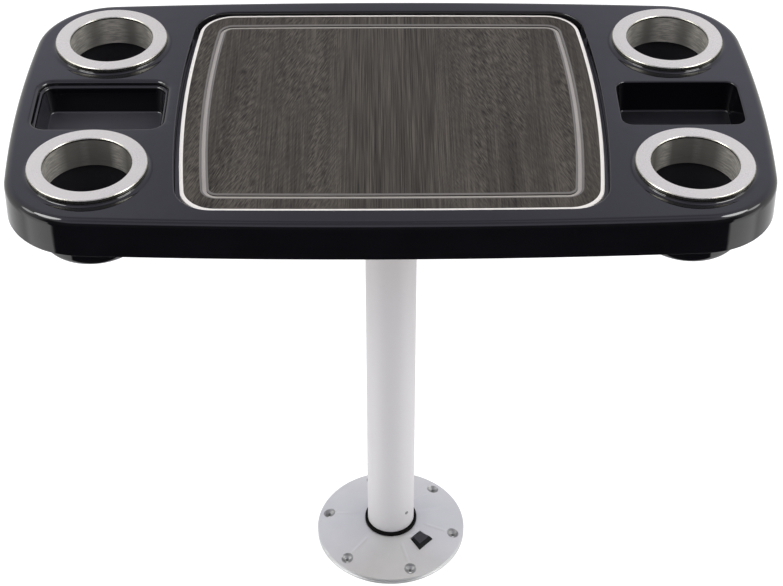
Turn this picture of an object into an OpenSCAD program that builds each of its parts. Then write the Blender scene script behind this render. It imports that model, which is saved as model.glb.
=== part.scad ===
// Camper table on a single pole: moulded top with four cup holders and two
// trays, a routed inlay board, and a pole that turns in a latched floor base.
// Millimetres, +Z up. The origin is the centre of the floor flange's underside.
// +X runs along the table's long side and -Y is the front.

/* [Table top] */
// Height of the top surface above the floor
table_h = 682; // [620:1:760]
// Length of the top at its middle
table_w = 818; // [800:1:880]
// Depth of the top at its middle
table_d = 432; // [424:1:480]
// How far each short side bows out
side_bow = 16; // [10:1:22]
// How far each long side bows out
front_bow = 13; // [8:1:18]
// Corner radius of the top
corner_r = 87; // [80:1:94]
// Height of the down-turned rim
rim_h = 44; // [42:1:60]
// Outward draft of the rim at its lower edge
rim_draft = 1.2; // [0.4:0.1:3]
// Radius of the rolled upper edge
edge_r = 9; // [5:0.5:12]
// Wall of the moulded shell
shell_t = 4; // [3:0.5:5]

/* [Cup holders] */
// From the end of the top to the middle of a cup
cup_from_end = 92; // [90:1:96]
// From the front or back of the top to the middle of a cup
cup_from_front = 95.5; // [93:0.5:98]
// Outer diameter of the metal ring
ring_od = 126; // [118:1:128]
// Opening of the metal ring
ring_bore = 92.6; // [84:0.2:96]
// Thickness of the ring's flange
ring_t = 5; // [3:0.5:7]
// Chamfer on the ring's upper edges
ring_chamfer = 0.9; // [0.4:0.1:1.4]
// From the ring's top to the lower end of its sleeve
sleeve_l = 35; // [25:1:45]
// Wall of the sleeve
sleeve_t = 1.4; // [1:0.1:2]
// Height of the lip at the sleeve's lower end
lip_h = 2.2; // [1:0.1:4]
// How far the lip stands into the bore
lip_in = 0.6; // [0.3:0.1:1]
// Height of the step that centres the ring in its well
spigot_h = 4; // [2:0.5:6]
// Height of the raised boss under the ring
boss_h = 2.3; // [1:0.1:4]
// How far the foot of the boss reaches past the ring
boss_skirt = 4; // [2:0.5:6]
// Inner diameter of the moulded well
well_d = 108; // [104:1:110]
// Depth of the well below the top surface
well_depth = 80; // [65:1:95]
// Radius inside the foot of the well
well_foot_r = 7; // [3:0.5:10]
// Draft of the well from mouth to foot
well_draft = 1; // [0.5:0.1:2]

/* [Trays] */
// Length of a tray's mouth
tray_w = 134; // [110:1:138]
// Depth of a tray's mouth, front to back
tray_d = 82; // [70:1:86]
// How deep a tray is
tray_depth = 36; // [20:1:38]
// Corner radius of a tray
tray_corner = 12; // [10:1:16]
// How far the tray's walls lean in
tray_draft = 4; // [1:0.5:6]
// Radius at the tray's floor
tray_foot_r = 5; // [2:0.5:8]
// Radius of the tray's rolled edge
tray_edge_r = 2; // [1:0.5:4]

/* [Inlay board] */
// From the end of the top to the end of the board
board_from_end = 181.5; // [176:0.5:190]
// From the front or back of the top to the board
board_from_front = 27.5; // [23:0.5:38]
// Thickness of the board
board_t = 12; // [8:0.5:14]
// How far each side of the board bows out
board_bow = 12.5; // [8:0.5:16]
// How far the front and back of the board bow out
board_front_bow = 2; // [0.5:0.1:4]
// Corner radius of the board
board_corner = 39; // [36:1:50]
// How far the board lies below the top surface
board_drop = 3.5; // [1:0.5:5]
// Width of the bevel round the board's upper edge
board_bevel = 4; // [2:0.5:6]
// Height of that bevel
bevel_h = 0.8; // [0.5:0.1:2]
// From the board's edge to the middle of the groove
groove_inset = 25.5; // [20:0.5:34]
// Width of the groove over its chamfers
groove_w = 9; // [7:0.5:12]
// Width of the groove's floor
groove_floor = 4.2; // [2:0.2:6]
// Depth of the groove
groove_deep = 2.6; // [1.5:0.1:4]
// Depth of the chamfers along the groove
groove_chamfer = 0.8; // [0.4:0.1:1.2]
// Gap in front of and behind the board at the recess floor
recess_gap = 2; // [0.5:0.1:3]
// How much wider that gap is at the board's two ends
recess_side = 3.5; // [0.5:0.5:4]
// How far the recess wall leans out to the top surface
recess_lean = 2; // [1:0.5:4]

/* [Core board] */
// How far the core stands in from the ends of the board
core_from_end = 5.5; // [0:0.5:30]
// How far the core stands in from the front and back of the board
core_from_front = 10; // [0:1:30]
// Thickness of the plywood core
core_t = 15; // [12:1:18]
// Corner radius of the plywood core
core_corner = 20; // [10:1:40]

/* [Pole] */
// Outer diameter of the pole
pole_od = 60.3; // [56:0.1:63]
// Wall of the pole
pole_wall = 2.8; // [2:0.1:4]

/* [Head fitting] */
// Diameter of the head flange
head_d = 180; // [170:1:200]
// Thickness of the head flange
head_t = 6; // [5:0.5:8]
// Length of the head socket below its flange
head_hub_l = 42; // [34:1:60]
// Wall of the head socket
head_hub_wall = 5; // [4:0.5:7]
// Wall of the nylon sleeve in the head socket
head_sleeve_t = 3.5; // [2.5:0.5:5]
// Lip of the nylon sleeve below the head socket
head_lip_h = 3; // [2:0.5:5]
// Bolt circle of the head flange
head_pcd = 150; // [140:1:156]
// Number of wood screws in the head flange
head_screws = 6; // [4:1:8]
// Diameter of a wood screw
wood_screw_d = 5; // [4:0.5:6]
// Length of a wood screw
wood_screw_l = 18; // [14:1:19]
// Diameter of a clamp screw in the head socket
clamp_screw_d = 6; // [5:1:8]
// From the head flange's seat down to the clamp screws
clamp_drop = 32; // [26:1:34]

/* [Floor base] */
// Diameter of the floor flange
base_d = 193.5; // [188:0.5:210]
// Height of the flange's outer edge
base_edge = 8; // [6.5:0.5:11]
// Height of the flange at its hub
hub_h = 21.5; // [20:0.5:24]
// Width of the flat round the hub's collar
hub_flat = 3; // [2:0.5:5]
// Wall of the casting
cast_t = 5; // [4:0.5:6]
// Width of the flat foot ring under the flange
foot_ring = 12; // [11:0.5:14]
// Bolt circle of the floor screws
floor_pcd = 168; // [166:1:172]
// Number of floor screw holes
floor_screws = 6; // [6:1:8]
// Angle of the first floor screw hole
floor_screw_angle = 47; // [45:1:49]
// Diameter of a floor screw hole
floor_hole_d = 6.6; // [5:0.1:7.6]
// Diameter of a countersink
sink_d = 15.6; // [12:0.1:16]
// Depth of a countersink
sink_h = 4.5; // [3:0.1:5.5]
// Depth of the socket below the floor
socket_depth = 52; // [46:1:80]
// Wall of the nylon bushing, seen as the collar
bushing_t = 3.6; // [3:0.1:4.2]
// How far the bushing stands above the hub
bushing_proud = 4.6; // [1:0.1:6]
// Thickness of the washer under the pole's foot
washer_t = 2; // [1:0.5:3]

/* [Pole foot] */
// How far the foot plug reaches up inside the pole
plug_l = 62; // [58:1:80]
// Bore through the foot plug
plug_bore = 32; // [20:1:40]
// Depth of the latch groove
latch_groove_deep = 4.2; // [4:0.1:5]
// Diameter of a rivet through the pole
rivet_d = 3.2; // [2.4:0.2:4.8]
// Number of rivets
rivets = 2; // [2:1:4]
// Height of the rivets above the floor
rivet_h = 54; // [50:1:56]
// Angle of the first rivet
rivet_angle = -48; // [-70:1:-20]

/* [Release latch] */
// How far the button is pressed
press = 5; // [4.4:0.1:5]
// Radius of the button's inner edge
button_r_in = 43.5; // [43:0.1:45]
// Length of the button along the radius
button_l = 19; // [17:0.5:19.5]
// Width of the button at its inner edge
button_w_in = 18.4; // [14:0.2:20]
// Width of the button at its outer edge
button_w_out = 25; // [22:0.2:25.2]
// Height of the button's top above the floor
button_h = 22; // [20:0.5:26]
// Width of the latch bolt
bolt_w = 12; // [11:0.5:14]
// Height of the latch bolt
bolt_h = 8; // [6:0.5:8]
// Depth of the bolt's middle below the floor
bolt_down = 12; // [11.6:0.1:12.4]
// Width of the button's slanted stem
stem_w = 5; // [4:0.5:6]
// Thickness of the latch cover
cover_t = 2; // [1.5:0.5:3]
// Diameter of a cover screw
cover_screw_d = 3; // [2.4:0.2:3.6]

/* [Hidden] */
$fn = 96;
// Overrun of a cut past the face it goes through
over = 1;
// Running clearance of the pole in its bushing
run_clear = 0.08;
// Clearance of the latch's sliding parts on each side
slide_clear = 0.2;
// Side clearance of the button in its hole
button_clear = 0.35;

board_w = table_w - 2 * board_from_end;
board_d = table_d - 2 * board_from_front;
core_w = board_w - 2 * core_from_end;
core_d = board_d - 2 * core_from_front;

// Places of the cups and trays
cup_x = table_w / 2 - cup_from_end;
cup_y = table_d / 2 - cup_from_front;
ring_r = ring_od / 2;
bore_r = ring_bore / 2;
well_r = well_d / 2;
ring_top = table_h + boss_h + ring_t;
ring_seat = table_h + boss_h;

// Heights of the stack under the board
board_top = table_h - board_drop;
recess_floor = board_top - board_t;
core_top = recess_floor - shell_t;
head_seat = core_top - core_t;
rim_bottom = table_h - rim_h;

// Pole and sockets
pole_r = pole_od / 2;
pole_in_r = pole_r - pole_wall;
head_sleeve_r = pole_r + head_sleeve_t;
head_hub_r = head_sleeve_r + head_hub_wall;
head_bottom = head_seat - head_t - head_hub_l;
pole_top = head_seat - 1;
clamp_angles = [60, 120];
hex_deep = 3;
point_l = 2;
cross_l = 5.2;
cross_w = 1;
cross_deep = 1.4;
bushing_r = pole_r + run_clear + bushing_t;
socket_wall = 4.2;
socket_r = bushing_r + socket_wall;
washer_top = washer_t - socket_depth;
shoulder_z = 2;

// Floor flange
base_r = base_d / 2;
cone_in_r = bushing_r + hub_flat;
cone_out_r = base_r - 2;
cone_slope = (hub_h - base_edge) / (cone_out_r - cone_in_r);
foot_in_r = base_r - foot_ring;
edge_groove = 0.8;

// Release latch, along its own radius
latch_angle = floor_screw_angle - 360 / floor_screws * 1.5;
bolt_z = -bolt_down;
bolt_top = bolt_z + bolt_h / 2;
bolt_low = bolt_z - bolt_h / 2;
bolt_tip_x = pole_r - latch_groove_deep + 0.6;
button_out = button_r_in + button_l;
skirt_x0 = button_r_in - 2;
skirt_x1 = button_out + 2;
skirt_w = 25.4;
skirt_low = bolt_top + press + 0.5;
skirt_top = skirt_low + 8.2;
cavity_x0 = socket_r + 0.3;
cavity_x1 = skirt_x1 + 0.5;
cavity_w = skirt_w + 0.6;
cavity_top = skirt_top + 0.3;
bolt_end_x = cavity_x1 + 4;
pocket_x = bolt_end_x + press + 1;
housing_x = pocket_x + 3;
housing_w = 38;
cover_z = bolt_low - press - 3;
stem_low = bolt_low - 1;
stem_run = 3.6;
cap_bevel = 1.2;
stem_x = cavity_x0 + 0.9 - stem_low;
spring_x = (skirt_x0 + skirt_x1) / 2;
spring_y = skirt_w / 2 - 3.2;
spring_r = 2.1;
wire_r = 0.45;
spring_turns = 6;
cover_head_r = cover_screw_d / 2 + 1.2;
cover_head_h = 1.8;
cover_screw_l = 9;
cover_screw_x = [cavity_x0 + 7, bolt_end_x + 3];
cover_screw_y = 16;

// A bowed, rounded outline: half sizes, bows of the short and long sides, corner
// radius, and the steps of a quarter's side, corner and front arcs
table_form = [table_w / 2, table_d / 2, side_bow, front_bow, corner_r, 3, 10, 4];
board_form = [board_w / 2, board_d / 2, board_bow, board_front_bow, board_corner, 4, 9, 1];
recess_form = [board_w / 2 + recess_side, board_d / 2, board_bow, board_front_bow, board_corner, 4, 9, 1];
tray_form = [tray_w / 2, tray_d / 2, 0.4, 0.4, tray_corner, 1, 6, 1];
core_form = [core_w / 2, core_d / 2, 0.4, 0.4, core_corner, 1, 6, 1];

function arc_radius(half, bow) = (half * half + bow * bow) / (2 * bow);

// Centre of the corner arc, at its distance from the centres of both long arcs
function corner_centre(ra, rb, c1, c2, r) =
    let (d = c2 - c1, gap = norm(d), u = d / gap)
    let (k = ((ra - r) * (ra - r) - (rb - r) * (rb - r) + gap * gap) / (2 * gap))
    let (h = sqrt(max((ra - r) * (ra - r) - k * k, 0)))
    c1 + u * k - [u[1], -u[0]] * h;

function arc(c, r, a0, a1, steps, last) =
    [for (i = [0 : steps - 1 + last]) let (a = a0 + (a1 - a0) * i / steps) c + r * [cos(a), sin(a)]];

// One quarter of an outline, moved inwards by inset
function quarter(form, inset) =
    let (ra = arc_radius(form[1], form[2]), rb = arc_radius(form[0], form[3]))
    let (c1 = [form[0] - ra, 0], c2 = [0, form[1] - rb])
    let (cc = corner_centre(ra, rb, c1, c2, form[4]))
    let (t1 = atan2(cc[1] - c1[1], cc[0] - c1[0]), t2 = atan2(cc[1] - c2[1], cc[0] - c2[0]))
    concat(arc(c1, ra - inset, 0, t1, form[5], 0), arc(cc, form[4] - inset, t1, t2, form[6], 0),
        arc(c2, rb - inset, t2, 90, form[7], 1));

function outline(form, inset) =
    let (q = quarter(form, inset), n = len(q))
    concat(q, [for (i = [n - 2 : -1 : 0]) [-q[i][0], q[i][1]]],
        [for (i = [1 : n - 1]) [-q[i][0], -q[i][1]]],
        [for (i = [n - 2 : -1 : 1]) [q[i][0], -q[i][1]]]);

// A solid through a stack of outlines, each level given as [inset, height]
module lofted(form, levels) {
    rings = [for (l = levels) outline(form, l[0])];
    n = len(rings[0]);
    m = len(levels);
    points = [for (i = [0 : m - 1]) for (p = rings[i]) [p[0], p[1], levels[i][1]]];
    sides = [for (i = [0 : m - 2]) for (j = [0 : n - 1])
        [i * n + j, (i + 1) * n + j, (i + 1) * n + (j + 1) % n, i * n + (j + 1) % n]];
    bottom = [[for (j = [0 : n - 1]) j]];
    top = [[for (j = [n - 1 : -1 : 0]) (m - 1) * n + j]];
    polyhedron(points = points, faces = concat(bottom, sides, top), convexity = 4);
}

// The same child at the four cup places
module at_cups() {
    for (sx = [-1, 1])
        for (sy = [-1, 1])
            translate([sx * cup_x, sy * cup_y, 0]) children();
}

module at_trays() {
    for (sx = [-1, 1])
        translate([sx * cup_x, 0, 0]) children();
}

module at_latch() {
    rotate([0, 0, latch_angle]) children();
}

// A flat outline in the latch's X and Z, as wide as w across it
module slab(points, w) {
    translate([0, w / 2, 0])
        rotate([90, 0, 0])
            linear_extrude(w) polygon(points);
}

function well_profile(r, z) = [
    [0, z],
    [r - well_draft - well_foot_r, z],
    for (a = [15 : 15 : 75]) [r - well_draft - well_foot_r * (1 - sin(a)), z + well_foot_r * (1 - cos(a))],
    [r - well_draft, z + well_foot_r]];

module well_outside() {
    z = table_h - well_depth - shell_t;
    rotate_extrude()
        polygon(concat(well_profile(well_r + shell_t, z),
            [[well_r + shell_t, table_h - shell_t / 2], [0, table_h - shell_t / 2]]));
}

module well_inside() {
    z = table_h - well_depth;
    rotate_extrude()
        polygon(concat(well_profile(well_r, z), [[well_r, table_h], [well_r, ring_seat + over],
            [0, ring_seat + over]]));
}

module boss() {
    translate([0, 0, table_h - shell_t / 2])
        cylinder(r = ring_r + boss_skirt, h = shell_t / 2);
    translate([0, 0, table_h])
        cylinder(r1 = ring_r + boss_skirt, r2 = ring_r + 0.5, h = boss_h);
}

// Levels of a tray or recess wall, grown outwards by t for its outside
function tray_levels(t, top) =
    let (z = table_h - tray_depth)
    [[tray_draft + tray_foot_r - t, z - t],
    [tray_draft + tray_foot_r * 0.3 - t, z - t + tray_foot_r * 0.3],
    [tray_draft - t, z - t + tray_foot_r],
    [-t, table_h - tray_edge_r - t],
    [-tray_edge_r * 0.3 - t, table_h - tray_edge_r * 0.3 - t],
    [-tray_edge_r - t, table_h - t],
    [-tray_edge_r - t, top]];

function recess_levels(t, top) = [
    [-recess_gap - t, recess_floor - t],
    [-recess_gap - t, recess_floor + board_t / 2],
    [-recess_gap - recess_lean * 0.3 - t, table_h - recess_lean * 0.3 - t],
    [-recess_gap - recess_lean - t, table_h - t],
    [-recess_gap - recess_lean - t, top]];

function edge_levels(r, z) = [for (a = [0 : 22.5 : 90]) [r * (1 - cos(a)), z - r + r * sin(a)]];

module table_shell() {
    under_top = table_h - shell_t / 2;
    color([0.05, 0.05, 0.06])
        difference() {
            union() {
                difference() {
                    lofted(table_form, concat([[0.8 - rim_draft, rim_bottom],
                        [-rim_draft, rim_bottom + 0.8]], edge_levels(edge_r, table_h)));
                    lofted(table_form, [[shell_t - rim_draft, rim_bottom - over],
                        [shell_t - rim_draft, rim_bottom],
                        [shell_t, table_h - edge_r],
                        [edge_r, table_h - shell_t]]);
                }
                at_cups() boss();
                at_cups() well_outside();
                at_trays() lofted(tray_form, tray_levels(shell_t, under_top));
                lofted(recess_form, recess_levels(shell_t, under_top));
            }
            at_cups() well_inside();
            at_trays() lofted(tray_form, tray_levels(0, table_h + over));
            lofted(recess_form, recess_levels(0, table_h + over));
        }
}

// Levels of the groove's outer side (-1) or inner side (1), from low under the surface
function groove_levels(side, low, above) =
    let (floor_edge = groove_inset + side * groove_floor / 2, lip = groove_inset + side * groove_w / 2)
    [[floor_edge, board_top - low], [floor_edge, board_top - groove_chamfer],
    [lip, board_top], [lip, board_top + above]];

module inlay_board() {
    color([0.36, 0.34, 0.3])
        difference() {
            lofted(board_form, [[0, recess_floor], [0, board_top - bevel_h], [board_bevel, board_top]]);
            difference() {
                lofted(board_form, groove_levels(-1, groove_deep, over));
                lofted(board_form, groove_levels(1, groove_deep + over, 2 * over));
            }
        }
}

module cup_ring(sx, sy) {
    spigot_r = well_r - 0.3;
    sleeve_r = bore_r + sleeve_t;
    sleeve_z = ring_top - sleeve_l;
    color([0.8, 0.79, 0.77])
        translate([sx * cup_x, sy * cup_y, 0])
            rotate_extrude()
                polygon([[bore_r - lip_in, sleeve_z], [sleeve_r, sleeve_z],
                    [sleeve_r, ring_seat - spigot_h], [spigot_r, ring_seat - spigot_h],
                    [spigot_r, ring_seat], [ring_r, ring_seat],
                    [ring_r, ring_top - ring_chamfer], [ring_r - ring_chamfer, ring_top],
                    [bore_r + ring_chamfer, ring_top], [bore_r, ring_top - ring_chamfer],
                    [bore_r, sleeve_z + lip_h], [bore_r - lip_in, sleeve_z + lip_h]]);
}

module cup_ring_front_left() {
    cup_ring(-1, -1);
}

module cup_ring_front_right() {
    cup_ring(1, -1);
}

module cup_ring_back_left() {
    cup_ring(-1, 1);
}

module cup_ring_back_right() {
    cup_ring(1, 1);
}

// The same child at each wood screw of the head flange
module at_head_screws() {
    for (i = [0 : head_screws - 1])
        rotate([0, 0, (i + 0.5) * 360 / head_screws]) translate([head_pcd / 2, 0, 0]) children();
}

module core_board() {
    color([0.72, 0.58, 0.4])
        difference() {
            translate([0, 0, head_seat]) linear_extrude(core_t) polygon(outline(core_form, 0));
            at_head_screws()
                translate([0, 0, head_seat - over])
                    cylinder(d = wood_screw_d, h = wood_screw_l - head_t + over);
        }
}

module clamp_screw_hole(d, r0, r1) {
    for (a = clamp_angles)
        rotate([0, 0, a])
            translate([r0, 0, head_seat - clamp_drop])
                rotate([0, 90, 0]) cylinder(d = d, h = r1 - r0);
}

module table_socket() {
    flange_r = head_d / 2;
    low = head_seat - head_t;
    color([0.75, 0.75, 0.77])
        difference() {
            rotate_extrude()
                polygon([[head_sleeve_r, head_bottom], [head_hub_r - 1, head_bottom],
                    [head_hub_r, head_bottom + 1], [head_hub_r, low - 8],
                    [head_hub_r + 3, low - 3], [head_hub_r + 9, low],
                    [flange_r - 1.5, low], [flange_r, low + 1.5],
                    [flange_r, head_seat], [head_sleeve_r, head_seat]]);
            at_head_screws()
                translate([0, 0, low - over]) cylinder(d = wood_screw_d, h = head_t + 2 * over);
            at_head_screws()
                translate([0, 0, low])
                    cylinder(r1 = wood_screw_d, r2 = wood_screw_d / 2, h = wood_screw_d / 2);
            clamp_screw_hole(clamp_screw_d, head_sleeve_r - over, head_hub_r + over);
        }
}

module socket_screws() {
    low = head_seat - head_t;
    color([0.8, 0.8, 0.8])
        at_head_screws()
            difference() {
                union() {
                    translate([0, 0, low]) cylinder(d = wood_screw_d, h = wood_screw_l - point_l);
                    translate([0, 0, low])
                        cylinder(r1 = wood_screw_d, r2 = wood_screw_d / 2, h = wood_screw_d / 2);
                    translate([0, 0, low + wood_screw_l - point_l])
                        cylinder(d1 = wood_screw_d, d2 = 0.8, h = point_l);
                }
                for (a = [0, 90])
                    rotate([0, 0, a])
                        translate([-cross_l / 2, -cross_w / 2, low - over])
                            cube([cross_l, cross_w, over + cross_deep]);
            }
}

module head_sleeve() {
    color([0.06, 0.06, 0.06])
        difference() {
            rotate_extrude()
                polygon([[pole_r, head_bottom - head_lip_h], [head_hub_r - 1.5, head_bottom - head_lip_h],
                    [head_hub_r - 1.5, head_bottom], [head_sleeve_r, head_bottom],
                    [head_sleeve_r, head_seat], [pole_r, head_seat]]);
            clamp_screw_hole(clamp_screw_d, pole_r - over, head_sleeve_r + over);
        }
}

module clamp_screws() {
    color([0.3, 0.3, 0.32])
        difference() {
            clamp_screw_hole(clamp_screw_d, pole_r - over, head_hub_r);
            translate([0, 0, head_bottom]) cylinder(r = pole_r, h = head_seat - head_bottom);
            for (a = clamp_angles)
                rotate([0, 0, a])
                    translate([head_hub_r - hex_deep, 0, head_seat - clamp_drop])
                        rotate([0, 90, 0]) cylinder(d = clamp_screw_d / 2, h = hex_deep + over, $fn = 6);
        }
}

module rivet_holes(d, r0, r1) {
    for (i = [0 : rivets - 1])
        rotate([0, 0, rivet_angle + i * 360 / rivets])
            translate([r0, 0, rivet_h])
                rotate([0, 90, 0]) cylinder(d = d, h = r1 - r0);
}

module pole_tube() {
    color([0.84, 0.84, 0.86])
        difference() {
            translate([0, 0, shoulder_z]) cylinder(r = pole_r, h = pole_top - shoulder_z);
            translate([0, 0, shoulder_z - over])
                cylinder(r = pole_in_r, h = pole_top - shoulder_z + 2 * over);
            rivet_holes(rivet_d, pole_in_r - over, pole_r + over);
        }
}

module foot_plug() {
    groove_r = pole_r - latch_groove_deep;
    groove_low = bolt_low - 1;
    groove_top = bolt_top + 1;
    color([0.1, 0.1, 0.1])
        difference() {
            rotate_extrude()
                polygon([[plug_bore / 2, washer_top], [pole_r - 1.5, washer_top],
                    [pole_r, washer_top + 1.5], [pole_r, groove_low], [groove_r, groove_low],
                    [groove_r, groove_top], [pole_r, groove_top], [pole_r, shoulder_z],
                    [pole_in_r, shoulder_z], [pole_in_r, plug_l - 2], [pole_in_r - 2, plug_l],
                    [plug_bore / 2, plug_l]]);
            rivet_holes(rivet_d, pole_in_r - 5, pole_r);
        }
}

module foot_rivets() {
    color([0.55, 0.55, 0.57])
        union() {
            rivet_holes(rivet_d, pole_in_r - 5, pole_r);
            difference() {
                rivet_holes(rivet_d + 1.6, pole_r - 0.4, pole_r + 0.6);
                translate([0, 0, rivet_h - rivet_d - over])
                    cylinder(r = pole_r, h = 2 * rivet_d + 2 * over);
            }
        }
}

// The same child at each floor screw
module at_floor_screws() {
    for (i = [0 : floor_screws - 1])
        rotate([0, 0, floor_screw_angle + i * 360 / floor_screws])
            translate([floor_pcd / 2, 0, 0]) children();
}

module button_plan(grow) {
    a = button_w_in / 2 + grow;
    b = button_w_out / 2 + grow;
    polygon([[button_r_in - grow, -a], [button_out + grow, -b],
        [button_out + grow, b], [button_r_in - grow, a]]);
}

module bolt_block(x0, x1, grow, w_grow) {
    translate([x0, -bolt_w / 2 - w_grow, bolt_low - grow])
        cube([x1 - x0, bolt_w + 2 * w_grow, bolt_h + 2 * grow]);
}

module base_casting() {
    ceiling = hub_h - cast_t;
    rotate_extrude()
        polygon([[0, -socket_depth - cast_t], [socket_r, -socket_depth - cast_t],
            [socket_r, ceiling], [cone_in_r + 2, ceiling],
            [foot_in_r, hub_h - (foot_in_r - cone_in_r) * cone_slope - cast_t],
            [foot_in_r, 0], [base_r, 0], [base_r, base_edge * 0.38],
            [base_r - edge_groove, base_edge * 0.43], [base_r - edge_groove, base_edge * 0.52],
            [base_r, base_edge * 0.57], [base_r, base_edge - 1.4],
            [base_r - 0.6, base_edge - 0.4], [cone_out_r, base_edge],
            [cone_in_r, hub_h], [bushing_r, hub_h], [bushing_r, -socket_depth], [0, -socket_depth]]);
}

module latch_housing() {
    top_x = hub_h - (housing_x - cone_in_r) * cone_slope - cast_t / 2;
    at_latch()
        slab([[bushing_r + socket_wall / 2, cover_z], [housing_x, cover_z], [housing_x, top_x],
            [cone_in_r + 3, hub_h - cast_t / 2],
            [bushing_r + socket_wall / 2, hub_h - cast_t / 2]], housing_w);
}

module latch_room() {
    at_latch() {
        translate([cavity_x0, -cavity_w / 2, cover_z - over])
            cube([cavity_x1 - cavity_x0, cavity_w, cavity_top - cover_z + over]);
        bolt_block(bushing_r - over, pocket_x, slide_clear, slide_clear);
        linear_extrude(hub_h + over) button_plan(button_clear);
        for (x = cover_screw_x)
            for (s = [-1, 1])
                translate([x, s * cover_screw_y, cover_z - over])
                    cylinder(d = cover_screw_d, h = cover_screw_l - cover_t + over);
    }
}

module base_flange() {
    boss_h1 = base_edge - 0.5;
    hole_top = hub_h - (floor_pcd / 2 - cone_in_r) * cone_slope;
    color([0.76, 0.76, 0.78])
        difference() {
            union() {
                base_casting();
                at_floor_screws() cylinder(r = foot_ring * 0.8, h = boss_h1);
                latch_housing();
            }
            translate([0, 0, -socket_depth]) cylinder(r = bushing_r, h = hub_h + socket_depth + over);
            at_floor_screws() translate([0, 0, -over]) cylinder(d = floor_hole_d, h = hub_h + over);
            at_floor_screws()
                translate([0, 0, hole_top - sink_h])
                    cylinder(d1 = floor_hole_d, d2 = sink_d, h = sink_h - 0.6);
            at_floor_screws()
                translate([0, 0, hole_top - 0.6]) cylinder(d = sink_d, h = hub_h);
            latch_room();
        }
}

module base_bushing() {
    color([0.05, 0.05, 0.05])
        difference() {
            rotate_extrude()
                polygon([[pole_r + run_clear, -socket_depth + washer_t],
                    [bushing_r, -socket_depth + washer_t],
                    [bushing_r, hub_h + bushing_proud - 0.8], [bushing_r - 0.8, hub_h + bushing_proud],
                    [pole_r + run_clear + 0.4, hub_h + bushing_proud],
                    [pole_r + run_clear, hub_h + bushing_proud - 0.4]]);
            at_latch() bolt_block(0, bushing_r + over, 0.6, 0.4);
        }
}

module thrust_washer() {
    color([0.85, 0.85, 0.8])
        translate([0, 0, -socket_depth])
            difference() {
                cylinder(r = bushing_r, h = washer_t);
                translate([0, 0, -over]) cylinder(d = plug_bore, h = washer_t + 2 * over);
            }
}

module release_button() {
    stem_top = skirt_low + 1;
    cap_low = skirt_top - 1;
    color([0.08, 0.08, 0.09])
        at_latch()
            union() {
                hull() {
                    translate([0, 0, cap_low])
                        linear_extrude(button_h - cap_bevel - cap_low) button_plan(0);
                    translate([0, 0, cap_low])
                        linear_extrude(button_h - cap_low) button_plan(-cap_bevel);
                }
                translate([skirt_x0, -skirt_w / 2, skirt_low])
                    cube([skirt_x1 - skirt_x0, skirt_w, skirt_top - skirt_low]);
                slab([[stem_x + stem_low, stem_low], [stem_x + stem_run + stem_low, stem_low],
                    [stem_x + stem_run + stem_top, stem_top], [stem_x + stem_top, stem_top]], stem_w);
            }
}

module latch_bolt() {
    z0 = bolt_low - over;
    z1 = bolt_top + over;
    s0 = stem_x - slide_clear;
    s1 = stem_x + stem_run + slide_clear;
    color([0.7, 0.7, 0.72])
        at_latch()
            difference() {
                bolt_block(bolt_tip_x, bolt_end_x, 0, 0);
                slab([[s0 + z0, z0], [s1 + z0, z0], [s1 + z1, z1], [s0 + z1, z1]],
                    stem_w + 2 * slide_clear);
            }
}

// One coil spring standing on z = 0, swept round a helix
module coil_spring(height) {
    steps = 10;
    sides = 5;
    n = spring_turns * steps;
    rise = height - 2 * wire_r;
    points = [for (i = [0 : n]) let (a = 360 * i / steps) for (j = [0 : sides - 1])
        let (b = 360 * j / sides, r = spring_r + wire_r * cos(b))
        [r * cos(a), r * sin(a), wire_r + rise * i / n + wire_r * sin(b)]];
    walls = [for (i = [0 : n - 1]) for (j = [0 : sides - 1])
        let (k = (j + 1) % sides, a = i * sides, b = a + sides)
        each [[a + j, a + k, b + k], [a + j, b + k, b + j]]];
    ends = [[for (j = [sides - 1 : -1 : 0]) j], [for (j = [0 : sides - 1]) n * sides + j]];
    polyhedron(points = points, faces = concat(ends, walls), convexity = 10);
}

module return_springs() {
    color([0.6, 0.6, 0.62])
        at_latch()
            for (s = [-1, 1])
                translate([spring_x, s * spring_y, cover_z]) coil_spring(skirt_low - cover_z);
}

module latch_cover() {
    color([0.5, 0.5, 0.52])
        at_latch()
            difference() {
                translate([cavity_x0, -housing_w / 2, cover_z - cover_t])
                    cube([housing_x - cavity_x0, housing_w, cover_t]);
                for (x = cover_screw_x)
                    for (s = [-1, 1])
                        translate([x, s * cover_screw_y, cover_z - cover_t - over])
                            cylinder(d = cover_screw_d, h = cover_t + 2 * over);
            }
}

module cover_screws() {
    color([0.75, 0.75, 0.76])
        at_latch()
            for (x = cover_screw_x)
                for (s = [-1, 1])
                    translate([x, s * cover_screw_y, cover_z - cover_t]) {
                        cylinder(d = cover_screw_d, h = cover_screw_l);
                        difference() {
                            translate([0, 0, -cover_head_h]) cylinder(r = cover_head_r, h = cover_head_h);
                            translate([-cover_head_r, -0.4, -cover_head_h - over])
                                cube([2 * cover_head_r, 0.8, over + 0.9]);
                        }
                    }
}

table_shell();
inlay_board();
cup_ring_front_left();
cup_ring_front_right();
cup_ring_back_left();
cup_ring_back_right();
core_board();
table_socket();
socket_screws();
head_sleeve();
clamp_screws();
pole_tube();
foot_plug();
foot_rivets();
base_flange();
base_bushing();
thrust_washer();
release_button();
latch_bolt();
return_springs();
latch_cover();
cover_screws();
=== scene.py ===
"""Looks of the single pole camper table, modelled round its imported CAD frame."""
import math

import bmesh
import bpy
from mathutils import Matrix, Vector


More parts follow.
